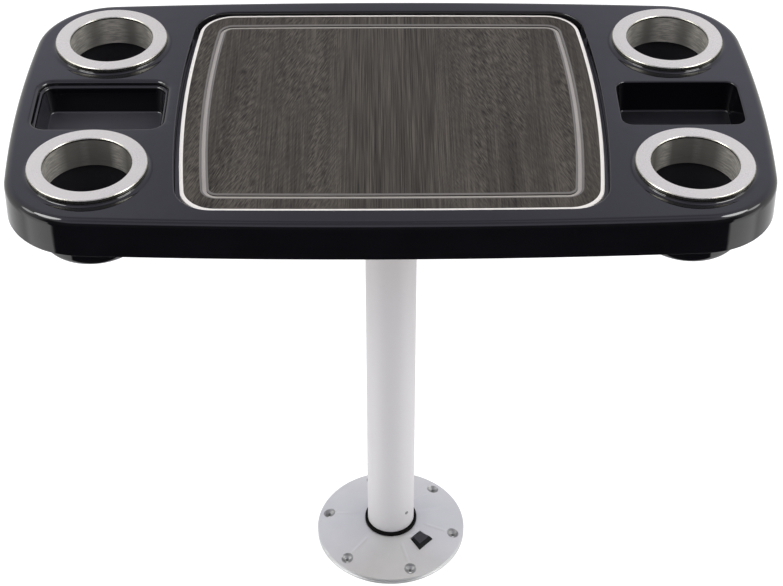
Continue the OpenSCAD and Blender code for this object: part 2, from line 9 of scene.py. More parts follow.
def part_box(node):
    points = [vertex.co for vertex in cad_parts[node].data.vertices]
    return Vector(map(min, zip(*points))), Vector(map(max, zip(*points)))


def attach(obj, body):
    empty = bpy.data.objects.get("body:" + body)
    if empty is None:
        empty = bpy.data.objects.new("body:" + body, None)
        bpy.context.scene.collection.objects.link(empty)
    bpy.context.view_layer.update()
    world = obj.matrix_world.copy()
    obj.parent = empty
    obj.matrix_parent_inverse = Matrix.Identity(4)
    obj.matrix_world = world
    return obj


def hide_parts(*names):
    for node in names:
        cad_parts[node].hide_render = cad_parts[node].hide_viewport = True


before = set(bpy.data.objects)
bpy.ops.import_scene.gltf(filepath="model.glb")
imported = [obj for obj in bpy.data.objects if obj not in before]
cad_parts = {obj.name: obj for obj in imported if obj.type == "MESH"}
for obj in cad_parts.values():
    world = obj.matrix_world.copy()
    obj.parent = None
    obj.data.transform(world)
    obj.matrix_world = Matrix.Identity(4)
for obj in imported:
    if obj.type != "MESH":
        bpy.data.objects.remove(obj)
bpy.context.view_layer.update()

bl_info = {
    "name": "Single pole camper table",
    "version": (1, 0, 0),
    "blender": (4, 5, 0),
    "location": "3D View > Sidebar > Camper Table",
    "description": "Models the shown pieces of a camper table on one pole, and its studio",
    "category": "Object",
}

MM = 0.001
TINY = 2e-5
RINGS = ("cup_ring_front_left", "cup_ring_front_right", "cup_ring_back_left", "cup_ring_back_right")
COPIES = {
    "core_board": ("table", "plywood"),
    "table_socket": ("table", "cast_alloy"),
    "socket_screws": ("table", "zinc_screw"),
    "head_sleeve": ("table", "black_nylon"),
    "clamp_screws": ("table", "dark_screw"),
    "foot_plug": ("table", "black_nylon"),
    "foot_rivets": ("table", "dark_screw"),
    "thrust_washer": ("base", "white_nylon"),
    "latch_cover": ("base", "zinc_screw"),
    "cover_screws": ("base", "zinc_screw"),
    "latch_bolt": ("bolt", "zinc_screw"),
}
MATERIALS = {}


def extent(node):
    """Lowest and highest corner of a CAD node in millimetres."""
    low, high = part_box(node)
    return [c / MM for c in low], [c / MM for c in high]


SHELL = extent("table_shell")
BOARD = extent("inlay_board")
RING = extent("cup_ring_front_right")
POLE = extent("pole_tube")
BUSHING = extent("base_bushing")
FLANGE = extent("base_flange")
BUTTON = extent("release_button")


def length(name, default, description):
    """A length property in millimetres of the model, kept in metres."""
    return bpy.props.FloatProperty(name=name, description=description, default=default * MM,
        min=0.0, precision=4, unit="LENGTH")


def colour(name, default, description):
    return bpy.props.FloatVectorProperty(name=name, description=description, default=default,
        size=3, min=0.0, max=1.0, subtype="COLOR")


def factor(name, default, description, top=1.0):
    return bpy.props.FloatProperty(name=name, description=description, default=default,
        min=0.0, max=top, subtype="FACTOR" if top == 1.0 else "NONE")


class PoleTableShape(bpy.types.PropertyGroup):
    """Sizes of the pieces that are modelled here"""
    rim_draft: length("Rim draft", 1.2, "Outward lean of the rim at its lower edge")
    side_bow: length("Side bow", 16, "How far each short side of the top bows out")
    front_bow: length("Front bow", 13, "How far each long side of the top bows out")
    corner: length("Corner radius", 87, "Corner radius of the top")
    edge: length("Edge radius", 9, "Radius of the rolled upper edge")
    wall: length("Wall", 4, "Wall of the moulded shell")
    boss: length("Boss height", 2.3, "Height of the raised boss under a ring")
    boss_skirt: length("Boss skirt", 5.4, "How far the boss's cove reaches past the ring")
    well: length("Well diameter", 108, "Inner diameter of a moulded cup well")
    well_foot: length("Well foot radius", 7, "Radius at the floor of a cup well")
    tray_w: length("Tray length", 134, "Length of a tray's mouth")
    tray_d: length("Tray width", 82, "Width of a tray's mouth, front to back")
    tray_depth: length("Tray depth", 36, "Depth of a tray")
    tray_corner: length("Tray corner", 12, "Corner radius of a tray")
    tray_draft: length("Tray draft", 4, "How far a tray's walls lean in")
    tray_foot: length("Tray foot radius", 2.5, "Radius at a tray's floor")
    tray_edge: length("Tray edge radius", 2, "Radius of a tray's rolled edge")
    board_bow: length("Board side bow", 12.5, "How far each end of the board bows out")
    board_front_bow: length("Board front bow", 2, "How far the board's front and back bow out")
    board_corner: length("Board corner", 39, "Corner radius of the board")
    board_bevel: length("Board bevel", 4, "Width of the bevel round the board's upper edge")
    bevel_h: length("Bevel height", 0.8, "Height of that bevel")
    groove_inset: length("Groove inset", 25.5, "From the board's edge to the groove's middle")
    groove_w: length("Groove width", 9, "Width of the groove over its chamfers")
    groove_floor: length("Groove floor", 4.2, "Width of the groove's floor")
    groove_deep: length("Groove depth", 2.6, "Depth of the groove")
    groove_chamfer: length("Groove chamfer", 0.8, "Depth of the chamfers along the groove")
    recess_gap: length("Recess gap", 2, "Gap between the board and its recess, front and back")
    recess_side: length("Recess side gap", 3.5, "How much wider that gap is at the board's ends")
    recess_roll: length("Recess roll", 1.6, "Radius of the rolled edge round the recess")
    ring_bore: length("Ring bore", 92.6, "Opening of a metal ring")
    ring_flange: length("Ring flange", 5, "Thickness of a ring's flange")
    ring_chamfer: length("Ring chamfer", 0.9, "Chamfer on a ring's upper edges")
    sleeve_wall: length("Sleeve wall", 1.4, "Wall of a ring's sleeve")
    lip: length("Sleeve lip", 2.2, "Height of the lip at a sleeve's lower end")
    lip_in: length("Lip depth", 0.2, "How far the lip stands into the bore")
    spigot: length("Ring spigot", 4, "Height of the step that centres a ring")
    ledge: length("Tray ledge", 3.2, "Width of the ledge inside the left tray's edge")
    ledge_drop: length("Tray ledge depth", 5.5, "How far that ledge lies below the surface")
    rivets: bpy.props.IntProperty(name="Rivets", default=2, min=1, max=4,
        description="Number of rivets through the pole")
    pole_wall: length("Pole wall", 2.8, "Wall of the pole")
    rivet: length("Rivet diameter", 3.2, "Diameter of a rivet through the pole")
    rivet_h: length("Rivet height", 54, "Height of the rivets above the floor")
    edge_groove: length("Edge groove", 4.4, "Height of the fine groove round the floor flange")
    button_taper: factor("Button taper", 0.8, "Size of the button's top as a share of its foot")
    button_taper_h: length("Button taper height", 5.5, "Height of the button's slanted sides")
    floor_pcd: length("Floor bolt circle", 168, "Bolt circle of the floor screws")
    floor_angle: bpy.props.FloatProperty(name="Floor screw angle", default=math.radians(47),
        description="Angle of the first floor screw hole", subtype="ANGLE")


class PoleTableColours(bpy.types.PropertyGroup):
    """Colours and finishes of the pieces"""
    gloss: colour("Moulding", (0.0032, 0.0030, 0.0042), "Gloss black of the moulded top")
    laminate: colour("Laminate", (0.0465, 0.0405, 0.032), "Middle tone of the board's grain")
    core: colour("Board core", (0.745, 0.715, 0.645), "Light core at the board's bevel")
    # the groove colour is the board's core painted darker, as painted shade in the groove
    groove: colour("Groove", (0.415, 0.385, 0.335), "Sanded core at the groove's floor")
    steel: colour("Ring steel", (0.72, 0.70, 0.61), "Brushed steel of the rings")
    pole: colour("Pole", (0.60, 0.59, 0.595), "Satin coating of the pole")
    silver: colour("Base", (0.55, 0.555, 0.55), "Satin silver coating of the floor flange")
    nylon: colour("Nylon", (0.004, 0.004, 0.004), "Black nylon of the collar and sleeves")
    button: colour("Button", (0.012, 0.012, 0.014), "Satin black of the release button")
    plywood: colour("Plywood", (0.52, 0.37, 0.21), "Sealed plywood of the core")
    gloss_rough: factor("Moulding roughness", 0.05, "Roughness of the gloss moulding")
    steel_rough: factor("Steel roughness", 0.3, "Roughness of the brushed steel")


class PoleTableStage(bpy.types.PropertyGroup):
    """Camera, light and floor of the studio"""
    camera_at: bpy.props.FloatVectorProperty(name="Camera place", size=3, subtype="TRANSLATION",
        default=(-0.0159, -1.6741, 1.8247), unit="LENGTH", description="Where the camera stands")
    yaw: bpy.props.FloatProperty(name="Yaw", default=0.028, subtype="ANGLE",
        description="Turn of the camera to the right")
    pitch: bpy.props.FloatProperty(name="Pitch", default=0.702, subtype="ANGLE",
        description="Tilt of the camera below the horizon")
    roll: bpy.props.FloatProperty(name="Roll", default=-0.013, subtype="ANGLE",
        description="Roll of the camera")
    lens: bpy.props.FloatProperty(name="Lens", default=84.757, min=1.0, subtype="DISTANCE_CAMERA",
        description="Focal length for a 36 mm sensor, in millimetres")
    shift_x: factor("Shift X", -0.03269, "Sideways shift of the lens")
    shift_y: factor("Shift Y", 0.00153, "Upward shift of the lens")
    sky: factor("Sky", 1.0, "Brightness of the soft light from above", 10.0)
    behind: factor("Sky behind", 0.6, "Brightness of the sky that the top mirrors", 10.0)
    zenith: factor("Zenith", 0.6, "Brightness of the soft light straight above", 10.0)
    fill: factor("Fill", 0.72, "Strength of the two wide lights that only fill", 10.0)
    boxes: factor("Mirrored lamps", 22.0, "Watts of each of the two lamps that only mirror", 100.0)
    lamps: factor("Side lamps", 5.0, "Brightness of the two small soft lamps", 50.0)
    side: factor("Side light", 1.65, "Brightness of the low side light", 10.0)
    dark: factor("Dark front", 0.02, "Brightness of the room low in front", 10.0)
    dim: factor("Dim front", 0.07, "Brightness of the room in front, above the horizon", 10.0)
    floor: factor("Floor glow", 0.8, "Even brightness of the white floor", 10.0)


# Modelling helpers

def mode(name):
    bpy.ops.object.mode_set(mode=name)


def clear():
    """Leaves edit mode and deselects everything."""
    if bpy.context.object and bpy.context.object.mode != "OBJECT":
        mode("OBJECT")
    bpy.ops.object.select_all(action="DESELECT")


def use(ob):
    clear()
    ob.select_set(True)
    bpy.context.view_layer.objects.active = ob
    return ob


def edit(ob):
    """Edit mode with the whole mesh selected."""
    use(ob)
    mode("EDIT")
    bpy.ops.mesh.select_mode(type="VERT")
    bpy.ops.mesh.select_all(action="SELECT")


def done(expected, result):
    """Raises when an operator was cancelled."""
    if "FINISHED" not in result:
        raise RuntimeError(expected + " could not be finished")


def apply(ob, modifier):
    use(ob)
    done(modifier.name, bpy.ops.object.modifier_apply(modifier=modifier.name))


def select(ob, kind, test):
    """Edit mode with just the vertices, edges or faces that pass the test selected."""
    use(ob)
    mode("EDIT")
    bpy.ops.mesh.select_mode(type=kind)
    bpy.ops.mesh.select_all(action="DESELECT")
    bm = bmesh.from_edit_mesh(ob.data)
    group = {"VERT": bm.verts, "EDGE": bm.edges, "FACE": bm.faces}[kind]
    count = 0
    for item in group:
        if test(item):
            item.select_set(True)
            count += 1
    bm.select_flush_mode()
    bmesh.update_edit_mesh(ob.data)
    return count


def turns(step, count, start=0):
    """So many angles in radians, from a start and in steps of degrees."""
    return [math.radians(start + step * i) for i in range(count)]


def arc(cx, cz, r, start, end, steps):
    """Points of an arc from start to end degrees."""
    turn = [math.radians(start + (end - start) * i / steps) for i in range(steps + 1)]
    return [(cx + r * math.cos(a), cz + r * math.sin(a)) for a in turn]


def chain(name, points):
    """An edge chain through (x, z) points in millimetres, left selected in edit mode."""
    clear()
    bpy.ops.mesh.primitive_plane_add(size=MM, location=(0, 0, 0))
    ob = bpy.context.object
    ob.name = name
    ob.data.name = name
    mode("EDIT")
    bpy.ops.mesh.select_mode(type="VERT")
    bpy.ops.mesh.select_all(action="SELECT")
    bpy.ops.mesh.merge(type="CENTER")
    bpy.ops.transform.translate(value=(points[0][0] * MM, 0, points[0][1] * MM))
    for (x0, z0), (x1, z1) in zip(points, points[1:]):
        bpy.ops.mesh.extrude_region_move(
            TRANSFORM_OT_translate={"value": ((x1 - x0) * MM, 0, (z1 - z0) * MM)})
    bpy.ops.mesh.select_all(action="SELECT")
    return ob


def tidy_mesh(ob):
    """Merges doubles and turns all normals outwards."""
    edit(ob)
    bpy.ops.mesh.remove_doubles(threshold=TINY / 2)
    bpy.ops.mesh.normals_make_consistent(inside=False)
    mode("OBJECT")
    return ob


def revolve(name, points, steps=128, at=(0, 0)):
    """The (r, z) chain spun once round the upright axis at a place."""
    ob = chain(name, points)
    bpy.ops.mesh.spin(steps=steps, angle=2 * math.pi, center=(0, 0, 0), axis=(0, 0, -1),
        use_auto_merge=True)
    tidy_mesh(ob)
    if at != (0, 0):
        move(ob, (at[0], at[1], 0))
    return ob


def move(ob, by):
    """Moves the whole mesh in edit mode, by millimetres."""
    edit(ob)
    bpy.ops.transform.translate(value=[c * MM for c in by])
    mode("OBJECT")


def turn(ob, angle, axis="Z", centre=(0, 0, 0)):
    """Turns the whole mesh in edit mode, anticlockwise seen against the axis."""
    edit(ob)
    bpy.ops.transform.rotate(value=-angle, orient_axis=axis, orient_type="GLOBAL",
        center_override=[c * MM for c in centre])
    mode("OBJECT")


def outline_arcs(form):
    """The three arcs of a quarter outline as (centre, turn)."""
    hx, hy, bow_x, bow_y, r = form
    ra = (hy * hy + bow_x * bow_x) / (2 * bow_x)
    rb = (hx * hx + bow_y * bow_y) / (2 * bow_y)
    c1 = Vector((hx - ra, 0))
    c2 = Vector((0, hy - rb))
    gap = (c2 - c1).length
    u = (c2 - c1) / gap
    k = ((ra - r) ** 2 - (rb - r) ** 2 + gap * gap) / (2 * gap)
    h = math.sqrt(max((ra - r) ** 2 - k * k, 0))
    cc = c1 + u * k - Vector((u[1], -u[0])) * h
    t1 = math.atan2(cc[1] - c1[1], cc[0] - c1[0])
    t2 = math.atan2(cc[1] - c2[1], cc[0] - c2[0])
    return (c1, t1), (cc, t2 - t1), (c2, math.pi / 2 - t2)


def sweep(name, form, levels, steps=(10, 24, 14), at=(0, 0)):
    """A band through (inset, height) levels, spun along a quarter outline and mirrored."""
    ob = chain(name, [(form[0] - inset, z) for inset, z in levels])
    for (centre, angle), count in zip(outline_arcs(form), steps):
        bpy.ops.mesh.spin(steps=count, angle=angle, axis=(0, 0, -1),
            center=(centre[0] * MM, centre[1] * MM, 0))
    mode("OBJECT")
    mirror = ob.modifiers.new("Mirror", "MIRROR")
    mirror.use_axis = (True, True, False)
    mirror.merge_threshold = TINY
    apply(ob, mirror)
    tidy_mesh(ob)
    if at != (0, 0):
        move(ob, (at[0], at[1], 0))
    return ob


def close(ob, z, many=False):
    """Fills the open loops at a height: one face, or one surface with holes."""
    z *= MM
    count = select(ob, "EDGE", lambda e: e.is_boundary
        and all(abs(v.co.z - z) < TINY for v in e.verts))
    if not count:
        raise RuntimeError("no open loop in " + ob.name)
    if many:
        done("the fill", bpy.ops.mesh.fill(use_beauty=True))
    else:
        done("the face", bpy.ops.mesh.edge_face_add())
    mode("OBJECT")


def join(name, obs):
    clear()
    for ob in obs:
        ob.select_set(True)
    bpy.context.view_layer.objects.active = obs[0]
    done("the join", bpy.ops.object.join())
    obs[0].name = name
    obs[0].data.name = name
    return obs[0]


def copy_of(ob, name):
    """A copy with a mesh of its own."""
    use(ob)
    done("the copy", bpy.ops.object.duplicate(linked=False))
    twin = bpy.context.object
    twin.name = name
    twin.data.name = name
    return twin


def cut(ob, tools, operation="DIFFERENCE"):
    """Cuts or joins closed tools with ob, one after the other."""
    for tool in tools:
        mod = ob.modifiers.new("Boolean", "BOOLEAN")
        mod.operation = operation
        mod.solver = "EXACT"
        mod.object = tool
        apply(ob, mod)
        bpy.data.objects.remove(tool)
    return ob


def rod(name, r, start, end, steps=32):
    """A closed cylinder on the upright axis between two heights."""
    return revolve(name, [(0, start), (r, start), (r, end), (0, end)], steps)


def block(name, low, high):
    """A box between two corners in millimetres."""
    clear()
    centre = [(a + b) / 2 * MM for a, b in zip(low, high)]
    bpy.ops.mesh.primitive_cube_add(size=1, location=(0, 0, 0))
    ob = bpy.context.object
    ob.name = name
    mode("EDIT")
    bpy.ops.transform.resize(value=[(b - a) * MM for a, b in zip(low, high)])
    bpy.ops.transform.translate(value=centre)
    mode("OBJECT")
    return ob


def smooth(ob, angle=32):
    """Smooth shading that keeps flat areas flat."""
    use(ob)
    bpy.ops.object.shade_smooth_by_angle(angle=math.radians(angle))
    weighted = ob.modifiers.new("Weighted", "WEIGHTED_NORMAL")
    weighted.keep_sharp = True
    weighted.weight = 100
    apply(ob, weighted)


def smooth_copy(node, name):
    """A merged copy of a CAD node, with its flat areas joined into single faces."""
    ob = copy_of(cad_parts[node], name)
    ob.parent = None
    ob.data.materials.clear()
    tidy_mesh(ob)
    edit(ob)
    bpy.ops.mesh.dissolve_limited(angle_limit=math.radians(0.6), delimit={"NORMAL"})
    mode("OBJECT")
    return ob


def bevelled(ob, width, angle, segments):
    bevel = ob.modifiers.new("Bevel", "BEVEL")
    bevel.width = width * MM
    bevel.segments = segments
    bevel.limit_method = "ANGLE"
    bevel.angle_limit = math.radians(angle)
    bevel.use_clamp_overlap = True
    bevel.miter_outer = "MITER_ARC"
    apply(ob, bevel)


def place(ob, node, body, materials):
    """Materials and body of a finished piece, and hides the CAD node that it stands for."""
    ob.data.materials.clear()
    for name in materials:
        ob.data.materials.append(MATERIALS[name])
    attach(ob, body)
    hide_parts(node)
    clear()
    return ob


# Material helpers

class Nodes:
    """Short words for building a node material."""

    def __init__(self, name):
        self.material = bpy.data.materials.new(name)
        self.material.use_nodes = True
        self.tree = self.material.node_tree
        self.shader = self.tree.nodes["Principled BSDF"]
        self.coords = self.add("ShaderNodeTexCoord").outputs["Object"]

    def add(self, kind, **values):
        made = self.tree.nodes.new(kind)
        for key, value in values.items():
            setattr(made, key, value)
        return made

    def feed(self, socket, value):
        if isinstance(value, bpy.types.NodeSocket):
            self.tree.links.new(value, socket)
        else:
            socket.default_value = value

    def math(self, operation, *values):
        made = self.add("ShaderNodeMath", operation=operation)
        for socket, value in zip(made.inputs, values):
            self.feed(socket, value)
        return made.outputs[0]

    def plus(self, a, b):
        return self.math("ADD", a, b)

    def minus(self, a, b):
        return self.math("SUBTRACT", a, b)

    def times(self, a, b):
        return self.math("MULTIPLY", a, b)

    def hypot(self, x, y):
        return self.math("SQRT", self.plus(self.times(x, x), self.times(y, y)))

    def parts(self, vector=None):
        made = self.add("ShaderNodeSeparateXYZ")
        self.feed(made.inputs[0], vector or self.coords)
        return made.outputs

    def vector(self, x=0.0, y=0.0, z=0.0):
        made = self.add("ShaderNodeCombineXYZ")
        for socket, value in zip(made.inputs, (x, y, z)):
            self.feed(socket, value)
        return made.outputs[0]

    def noise(self, vector=None, scale=1.0, detail=2.0, rough=0.5, stretch=None):
        if stretch:
            mapping = self.add("ShaderNodeMapping")
            self.feed(mapping.inputs["Vector"], vector or self.coords)
            mapping.inputs["Scale"].default_value = stretch
            vector = mapping.outputs[0]
        made = self.add("ShaderNodeTexNoise")
        self.feed(made.inputs["Vector"], vector or self.coords)
        self.feed(made.inputs["Scale"], scale)
        self.feed(made.inputs["Detail"], detail)
        self.feed(made.inputs["Roughness"], rough)
        return made.outputs["Fac"]

    def ramp(self, value, *stops):
        """A colour ramp through (place, colour) stops."""
        made = self.add("ShaderNodeValToRGB")
        self.feed(made.inputs[0], value)
        elements = made.color_ramp.elements
        while len(elements) < len(stops):
            elements.new(0.5)
        for element, (at, shade) in zip(elements, stops):
            element.position = at
            element.color = (*shade, 1)
        return made.outputs[0]

    def span(self, value, low, high, to_low=0.0, to_high=1.0):
        """Maps a range onto another, clamped and smoothed."""
        made = self.add("ShaderNodeMapRange", interpolation_type="SMOOTHSTEP")
        for socket, item in zip(made.inputs, (value, low, high, to_low, to_high)):
            self.feed(socket, item)
        return made.outputs[0]

    def mix(self, fac, a, b):
        made = self.add("ShaderNodeMix", data_type="RGBA")
        self.feed(made.inputs["Factor"], fac)
        self.feed(made.inputs["A"], (*a, 1) if isinstance(a, (tuple, list)) else a)
        self.feed(made.inputs["B"], (*b, 1) if isinstance(b, (tuple, list)) else b)
        return made.outputs["Result"]

    def blend(self, fac, a, b):
        """A number between a and b."""
        made = self.add("ShaderNodeMix", data_type="FLOAT")
        for socket, item in zip(made.inputs[:1] + made.inputs[2:4], (fac, a, b)):
            self.feed(socket, item)
        return made.outputs[0]

    def bump(self, height, strength, distance, over=None):
        made = self.add("ShaderNodeBump")
        self.feed(made.inputs["Strength"], strength)
        self.feed(made.inputs["Distance"], distance)
        self.feed(made.inputs["Height"], height)
        if over:
            self.feed(made.inputs["Normal"], over)
        return made.outputs[0]

    def set(self, **values):
        names = {"colour": "Base Color", "rough": "Roughness", "metal": "Metallic",
            "normal": "Normal", "level": "Specular IOR Level"}
        for key, value in values.items():
            if key == "colour" and not isinstance(value, bpy.types.NodeSocket):
                value = (*value, 1)
            self.feed(self.shader.inputs[names[key]], value)
        return self.material


def tone(base, gain):
    return tuple(min(c * gain, 1.0) for c in base)


def flecked(name, base, rough, metal=0.0, scale=900.0, amount=0.12, bump=0.05, level=0.5):
    """A finish with fine flecks in its colour, gloss and surface."""
    n = Nodes(name)
    fleck = n.noise(scale=scale, detail=3.0)
    cloud = n.noise(scale=25.0, detail=2.0)
    both = n.math("MULTIPLY_ADD", cloud, 0.5, n.times(fleck, 0.5))
    n.set(colour=n.ramp(both, (0.3, tone(base, 1 - amount)), (0.7, tone(base, 1 + amount))),
        rough=n.span(both, 0.3, 0.7, rough * 0.9, min(rough * 1.12, 1.0)), metal=metal, level=level,
        normal=n.bump(fleck, bump, 0.0004))
    return n.material


def gloss_material(c):
    """Moulded gloss black with a faint waviness."""
    n = Nodes("gloss_black")
    wave = n.noise(scale=55.0, detail=1.0)
    peel = n.noise(scale=650.0, detail=1.0)
    haze = n.noise(scale=18.0, detail=3.0)
    n.set(colour=n.ramp(haze, (0.35, tone(c.gloss, 0.9)), (0.65, tone(c.gloss, 1.15))),
        rough=n.span(haze, 0.35, 0.65, c.gloss_rough * 0.85, c.gloss_rough * 1.2),
        normal=n.bump(wave, 0.05, 0.002, over=n.bump(peel, 0.03, 0.00015)))
    return n.material


def tray_material(c, shape):
    """Side walls painted a lighter satin grey as painted light, turning to the moulding's gloss black
    round the corners of a tray.
    """
    n = Nodes("tray_wall")
    x, y, _ = n.parts()
    middle = ring_centre()[0] * MM
    past_x = n.math("MAXIMUM", 0.0, n.minus(n.math("ABSOLUTE", n.plus(x, middle)),
        shape.tray_w / 2 - shape.tray_corner))
    past_y = n.math("MAXIMUM", 0.0, n.minus(n.math("ABSOLUTE", y),
        shape.tray_d / 2 - shape.tray_corner - shape.tray_draft))
    apart = n.math("MAXIMUM", n.hypot(past_x, past_y), 1e-5)
    black = n.span(n.math("DIVIDE", past_y, apart), 0.5, 0.98)
    fleck = n.noise(scale=900.0)
    # the lighter grey on the side walls stands in for light falling on them: painted light
    lit_side_grey = n.ramp(fleck, (0.3, (0.022, 0.0215, 0.027)), (0.7, (0.026, 0.0255, 0.031)))
    n.set(colour=n.mix(black, lit_side_grey, tuple(c.gloss)), rough=n.blend(black, 0.4, c.gloss_rough))
    return n.material


def grain_material(c):
    """Dark laminate: straight grain in the middle, slanted dashes in the outer thirds."""
    n = Nodes("board_grain")
    x, y, _ = n.parts()
    slant = math.radians(20)
    left = n.span(x, -0.085, -0.035, 1.0, 0.0)
    right = n.span(x, 0.035, 0.085)

    def lines(angle, across, along, seed):
        u = n.minus(n.times(x, math.cos(angle)),
            n.times(y, math.sin(angle)))
        v = n.plus(n.times(x, math.sin(angle)),
            n.times(y, math.cos(angle)))
        return n.noise(n.vector(n.times(u, across), n.times(v, along), seed),
            scale=1.0, detail=3.0, rough=0.6)

    straight = n.math("MULTIPLY_ADD", lines(0.0, 900.0, 9.0, 0.0), 0.75,
        n.times(lines(0.0, 300.0, 4.0, 5.0), 0.25))
    dash_left = lines(slant, 800.0, 75.0, 2.0)
    dash_right = lines(-slant, 800.0, 75.0, 3.0)
    columns = n.noise(n.vector(n.times(x, 34.0), n.times(y, 4.0), 1.0), detail=1.0)
    plain = n.span(columns, 0.42, 0.58, 0.6, 0.0)
    dashes = n.blend(right, dash_left, dash_right)
    outer = n.times(n.plus(left, right), n.minus(1.0, plain))
    fine = n.blend(outer, straight, dashes)
    band = n.noise(n.vector(n.times(x, 42.0), n.times(y, 2.5), 7.0), detail=2.0)
    level = n.math("MULTIPLY_ADD", band, 0.22, n.times(fine, 0.78))
    n.set(colour=n.ramp(level, (0.38, tone(c.laminate, 0.25)), (0.47, tone(c.laminate, 0.8)),
        (0.53, tone(c.laminate, 1.2)), (0.62, tone(c.laminate, 2.1))),
        rough=n.span(level, 0.36, 0.64, 0.55, 0.45), level=0.12,
        normal=n.bump(level, 0.3, 0.0004))
    return n.material


def core_material(c):
    n = Nodes("board_core")
    speck = n.noise(scale=1400.0, detail=2.0)
    n.set(colour=n.ramp(speck, (0.35, tone(c.core, 0.9)), (0.65, tone(c.core, 1.04))), rough=0.45,
        normal=n.bump(speck, 0.05, 0.0002))
    return n.material


def ring_coords(n):
    """Radius and angle round the nearest cup, from mirrored object coordinates."""
    x, y, z = n.parts()
    dx = n.minus(n.math("ABSOLUTE", x), ring_centre()[0] * MM)
    dy = n.minus(n.math("ABSOLUTE", y), ring_centre()[1] * MM)
    radius = n.hypot(dx, dy)
    angle = n.math("ARCTAN2", dy, dx)
    return radius, angle, z


def steel_material(c, name, zone):
    """Brushed steel: turned face, edges painted darker as painted shade, dark lines of painted shadow,
    or brushed sleeve with painted reflection bands.
    """
    n = Nodes(name)
    radius, angle, z = ring_coords(n)
    if zone == "face":
        brush = n.noise(n.vector(n.times(radius, 5200.0), n.times(angle, 1.2)),
            detail=2.0)
        cloud = n.noise(scale=40.0, detail=2.0)
        grit = n.noise(scale=900.0, detail=2.0)
        both = n.math("MULTIPLY_ADD", brush, 0.5, n.times(grit, 0.5))
        n.set(colour=n.ramp(both, (0.36, tone(c.steel, 0.92)), (0.64, tone(c.steel, 1.07))), metal=1.0,
            rough=n.span(cloud, 0.35, 0.65, c.steel_rough * 0.85, c.steel_rough * 1.1),
            normal=n.bump(both, 0.05, 0.0001))
    elif zone == "edge":
        # the chamfers and outer side are painted darker than the face: painted shade
        mottle = n.noise(scale=300.0, detail=2.0)
        n.set(colour=n.ramp(mottle, (0.3, tone(c.steel, 0.36)), (0.7, tone(c.steel, 0.46))), metal=1.0,
            rough=n.span(mottle, 0.3, 0.7, 0.24, 0.34))
    elif zone == "inner":
        # near-black steel for the lines at the top of the bore and along the outer side's top and
        # foot: painted shadow
        mottle = n.noise(scale=300.0, detail=2.0)
        n.set(colour=n.ramp(mottle, (0.3, tone(c.steel, 0.05)), (0.7, tone(c.steel, 0.08))), metal=1.0,
            rough=n.span(mottle, 0.3, 0.7, 0.35, 0.45))
    else:
        brush = n.noise(n.vector(n.times(z, 560.0), n.times(angle, 3.0)),
            detail=3.0, rough=0.65)
        # light and dark bands round the sleeve: painted reflection
        reflection_bands = n.noise(n.vector(n.math("COSINE", angle), n.math("SINE", angle)), scale=1.4,
            detail=0.0)
        warm = (c.steel[0], c.steel[1] * 0.99, c.steel[2] * 1.03)
        shade = n.ramp(reflection_bands, (0.42, tone(warm, 0.38)), (0.58, tone(warm, 1.12)))
        n.set(colour=n.mix(n.span(brush, 0.36, 0.64, 0.0, 0.6), shade, tone(warm, 0.35)), metal=0.75,
            rough=n.span(brush, 0.3, 0.7, 0.5, 0.6), normal=n.bump(brush, 0.3, 0.0002))
    return n.material


def pole_material(c):
    n = Nodes("pole_paint")
    fleck = n.noise(scale=1600.0, detail=2.0)
    drawn = n.noise(stretch=(60.0, 60.0, 4.0), detail=2.0)
    n.set(colour=n.ramp(fleck, (0.3, tone(c.pole, 0.975)), (0.7, tone(c.pole, 1.02))), level=0.3,
        rough=n.span(drawn, 0.35, 0.65, 0.4, 0.48), normal=n.bump(fleck, 0.03, 0.0001))
    return n.material


def silver_material(c, shape):
    """Satin silver on a casting, with faint creases from the screw holes to the hub, and painted shade
    in the countersinks and along the edge groove.
    """
    n = Nodes("silver_paint")
    x, y, z = n.parts()
    count = 6
    angle = n.minus(n.math("ARCTAN2", y, x), shape.floor_angle)
    radius = n.hypot(x, y)
    away = n.math("ARCCOSINE", n.math("COSINE", n.times(angle, float(count))))
    across = n.times(n.math("DIVIDE", away, float(count)), radius)
    crease = n.span(across, 0.0, 0.0035, 1.0, 0.0)
    reach = n.times(n.span(radius, 0.041, 0.05), n.span(radius, 0.07, 0.078, 1.0, 0.0))
    ridge = n.times(crease, reach)
    out = n.minus(radius, shape.floor_pcd / 2)
    apart = n.hypot(out, across)
    # darker in the countersinks: painted shade
    hole = n.span(apart, 0.0068, 0.0082, 1.0, 0.0)
    rise = n.math("ABSOLUTE", n.minus(z, shape.edge_groove))
    # darker along the edge groove: painted shade
    line = n.times(n.span(rise, 0.0004, 0.0009, 0.6, 0.0), n.span(radius, 0.09, 0.092))
    fleck = n.noise(scale=1500.0, detail=3.0)
    cloud = n.noise(scale=30.0, detail=2.0)
    mixed = n.math("MULTIPLY_ADD", cloud, 0.5, n.times(fleck, 0.5))
    shade = n.ramp(mixed, (0.3, tone(c.silver, 0.93)), (0.7, tone(c.silver, 1.05)))
    n.set(colour=n.mix(n.math("MAXIMUM", n.times(hole, 0.72), line), shade,
        tone(c.silver, 0.3)), metal=0.45,
        rough=n.span(mixed, 0.3, 0.7, 0.34, 0.42),
        normal=n.bump(ridge, 0.35, 0.0012, over=n.bump(fleck, 0.05, 0.00015)))
    return n.material


def plywood_material(c):
    n = Nodes("plywood")
    x, y, z = n.parts()
    figure = n.noise(n.vector(n.times(x, 3.0), n.times(y, 70.0),
        n.times(z, 40.0)), detail=4.0)
    layer = n.math("PINGPONG", z, 0.0015)
    ply = n.span(layer, 0.0004, 0.0011)
    tones = n.ramp(figure, (0.3, tone(c.plywood, 0.72)), (0.7, tone(c.plywood, 1.2)))
    n.set(colour=n.mix(n.times(ply, 0.3), tones, tone(c.plywood, 0.5)), rough=0.5,
        normal=n.bump(figure, 0.1, 0.0004))
    return n.material


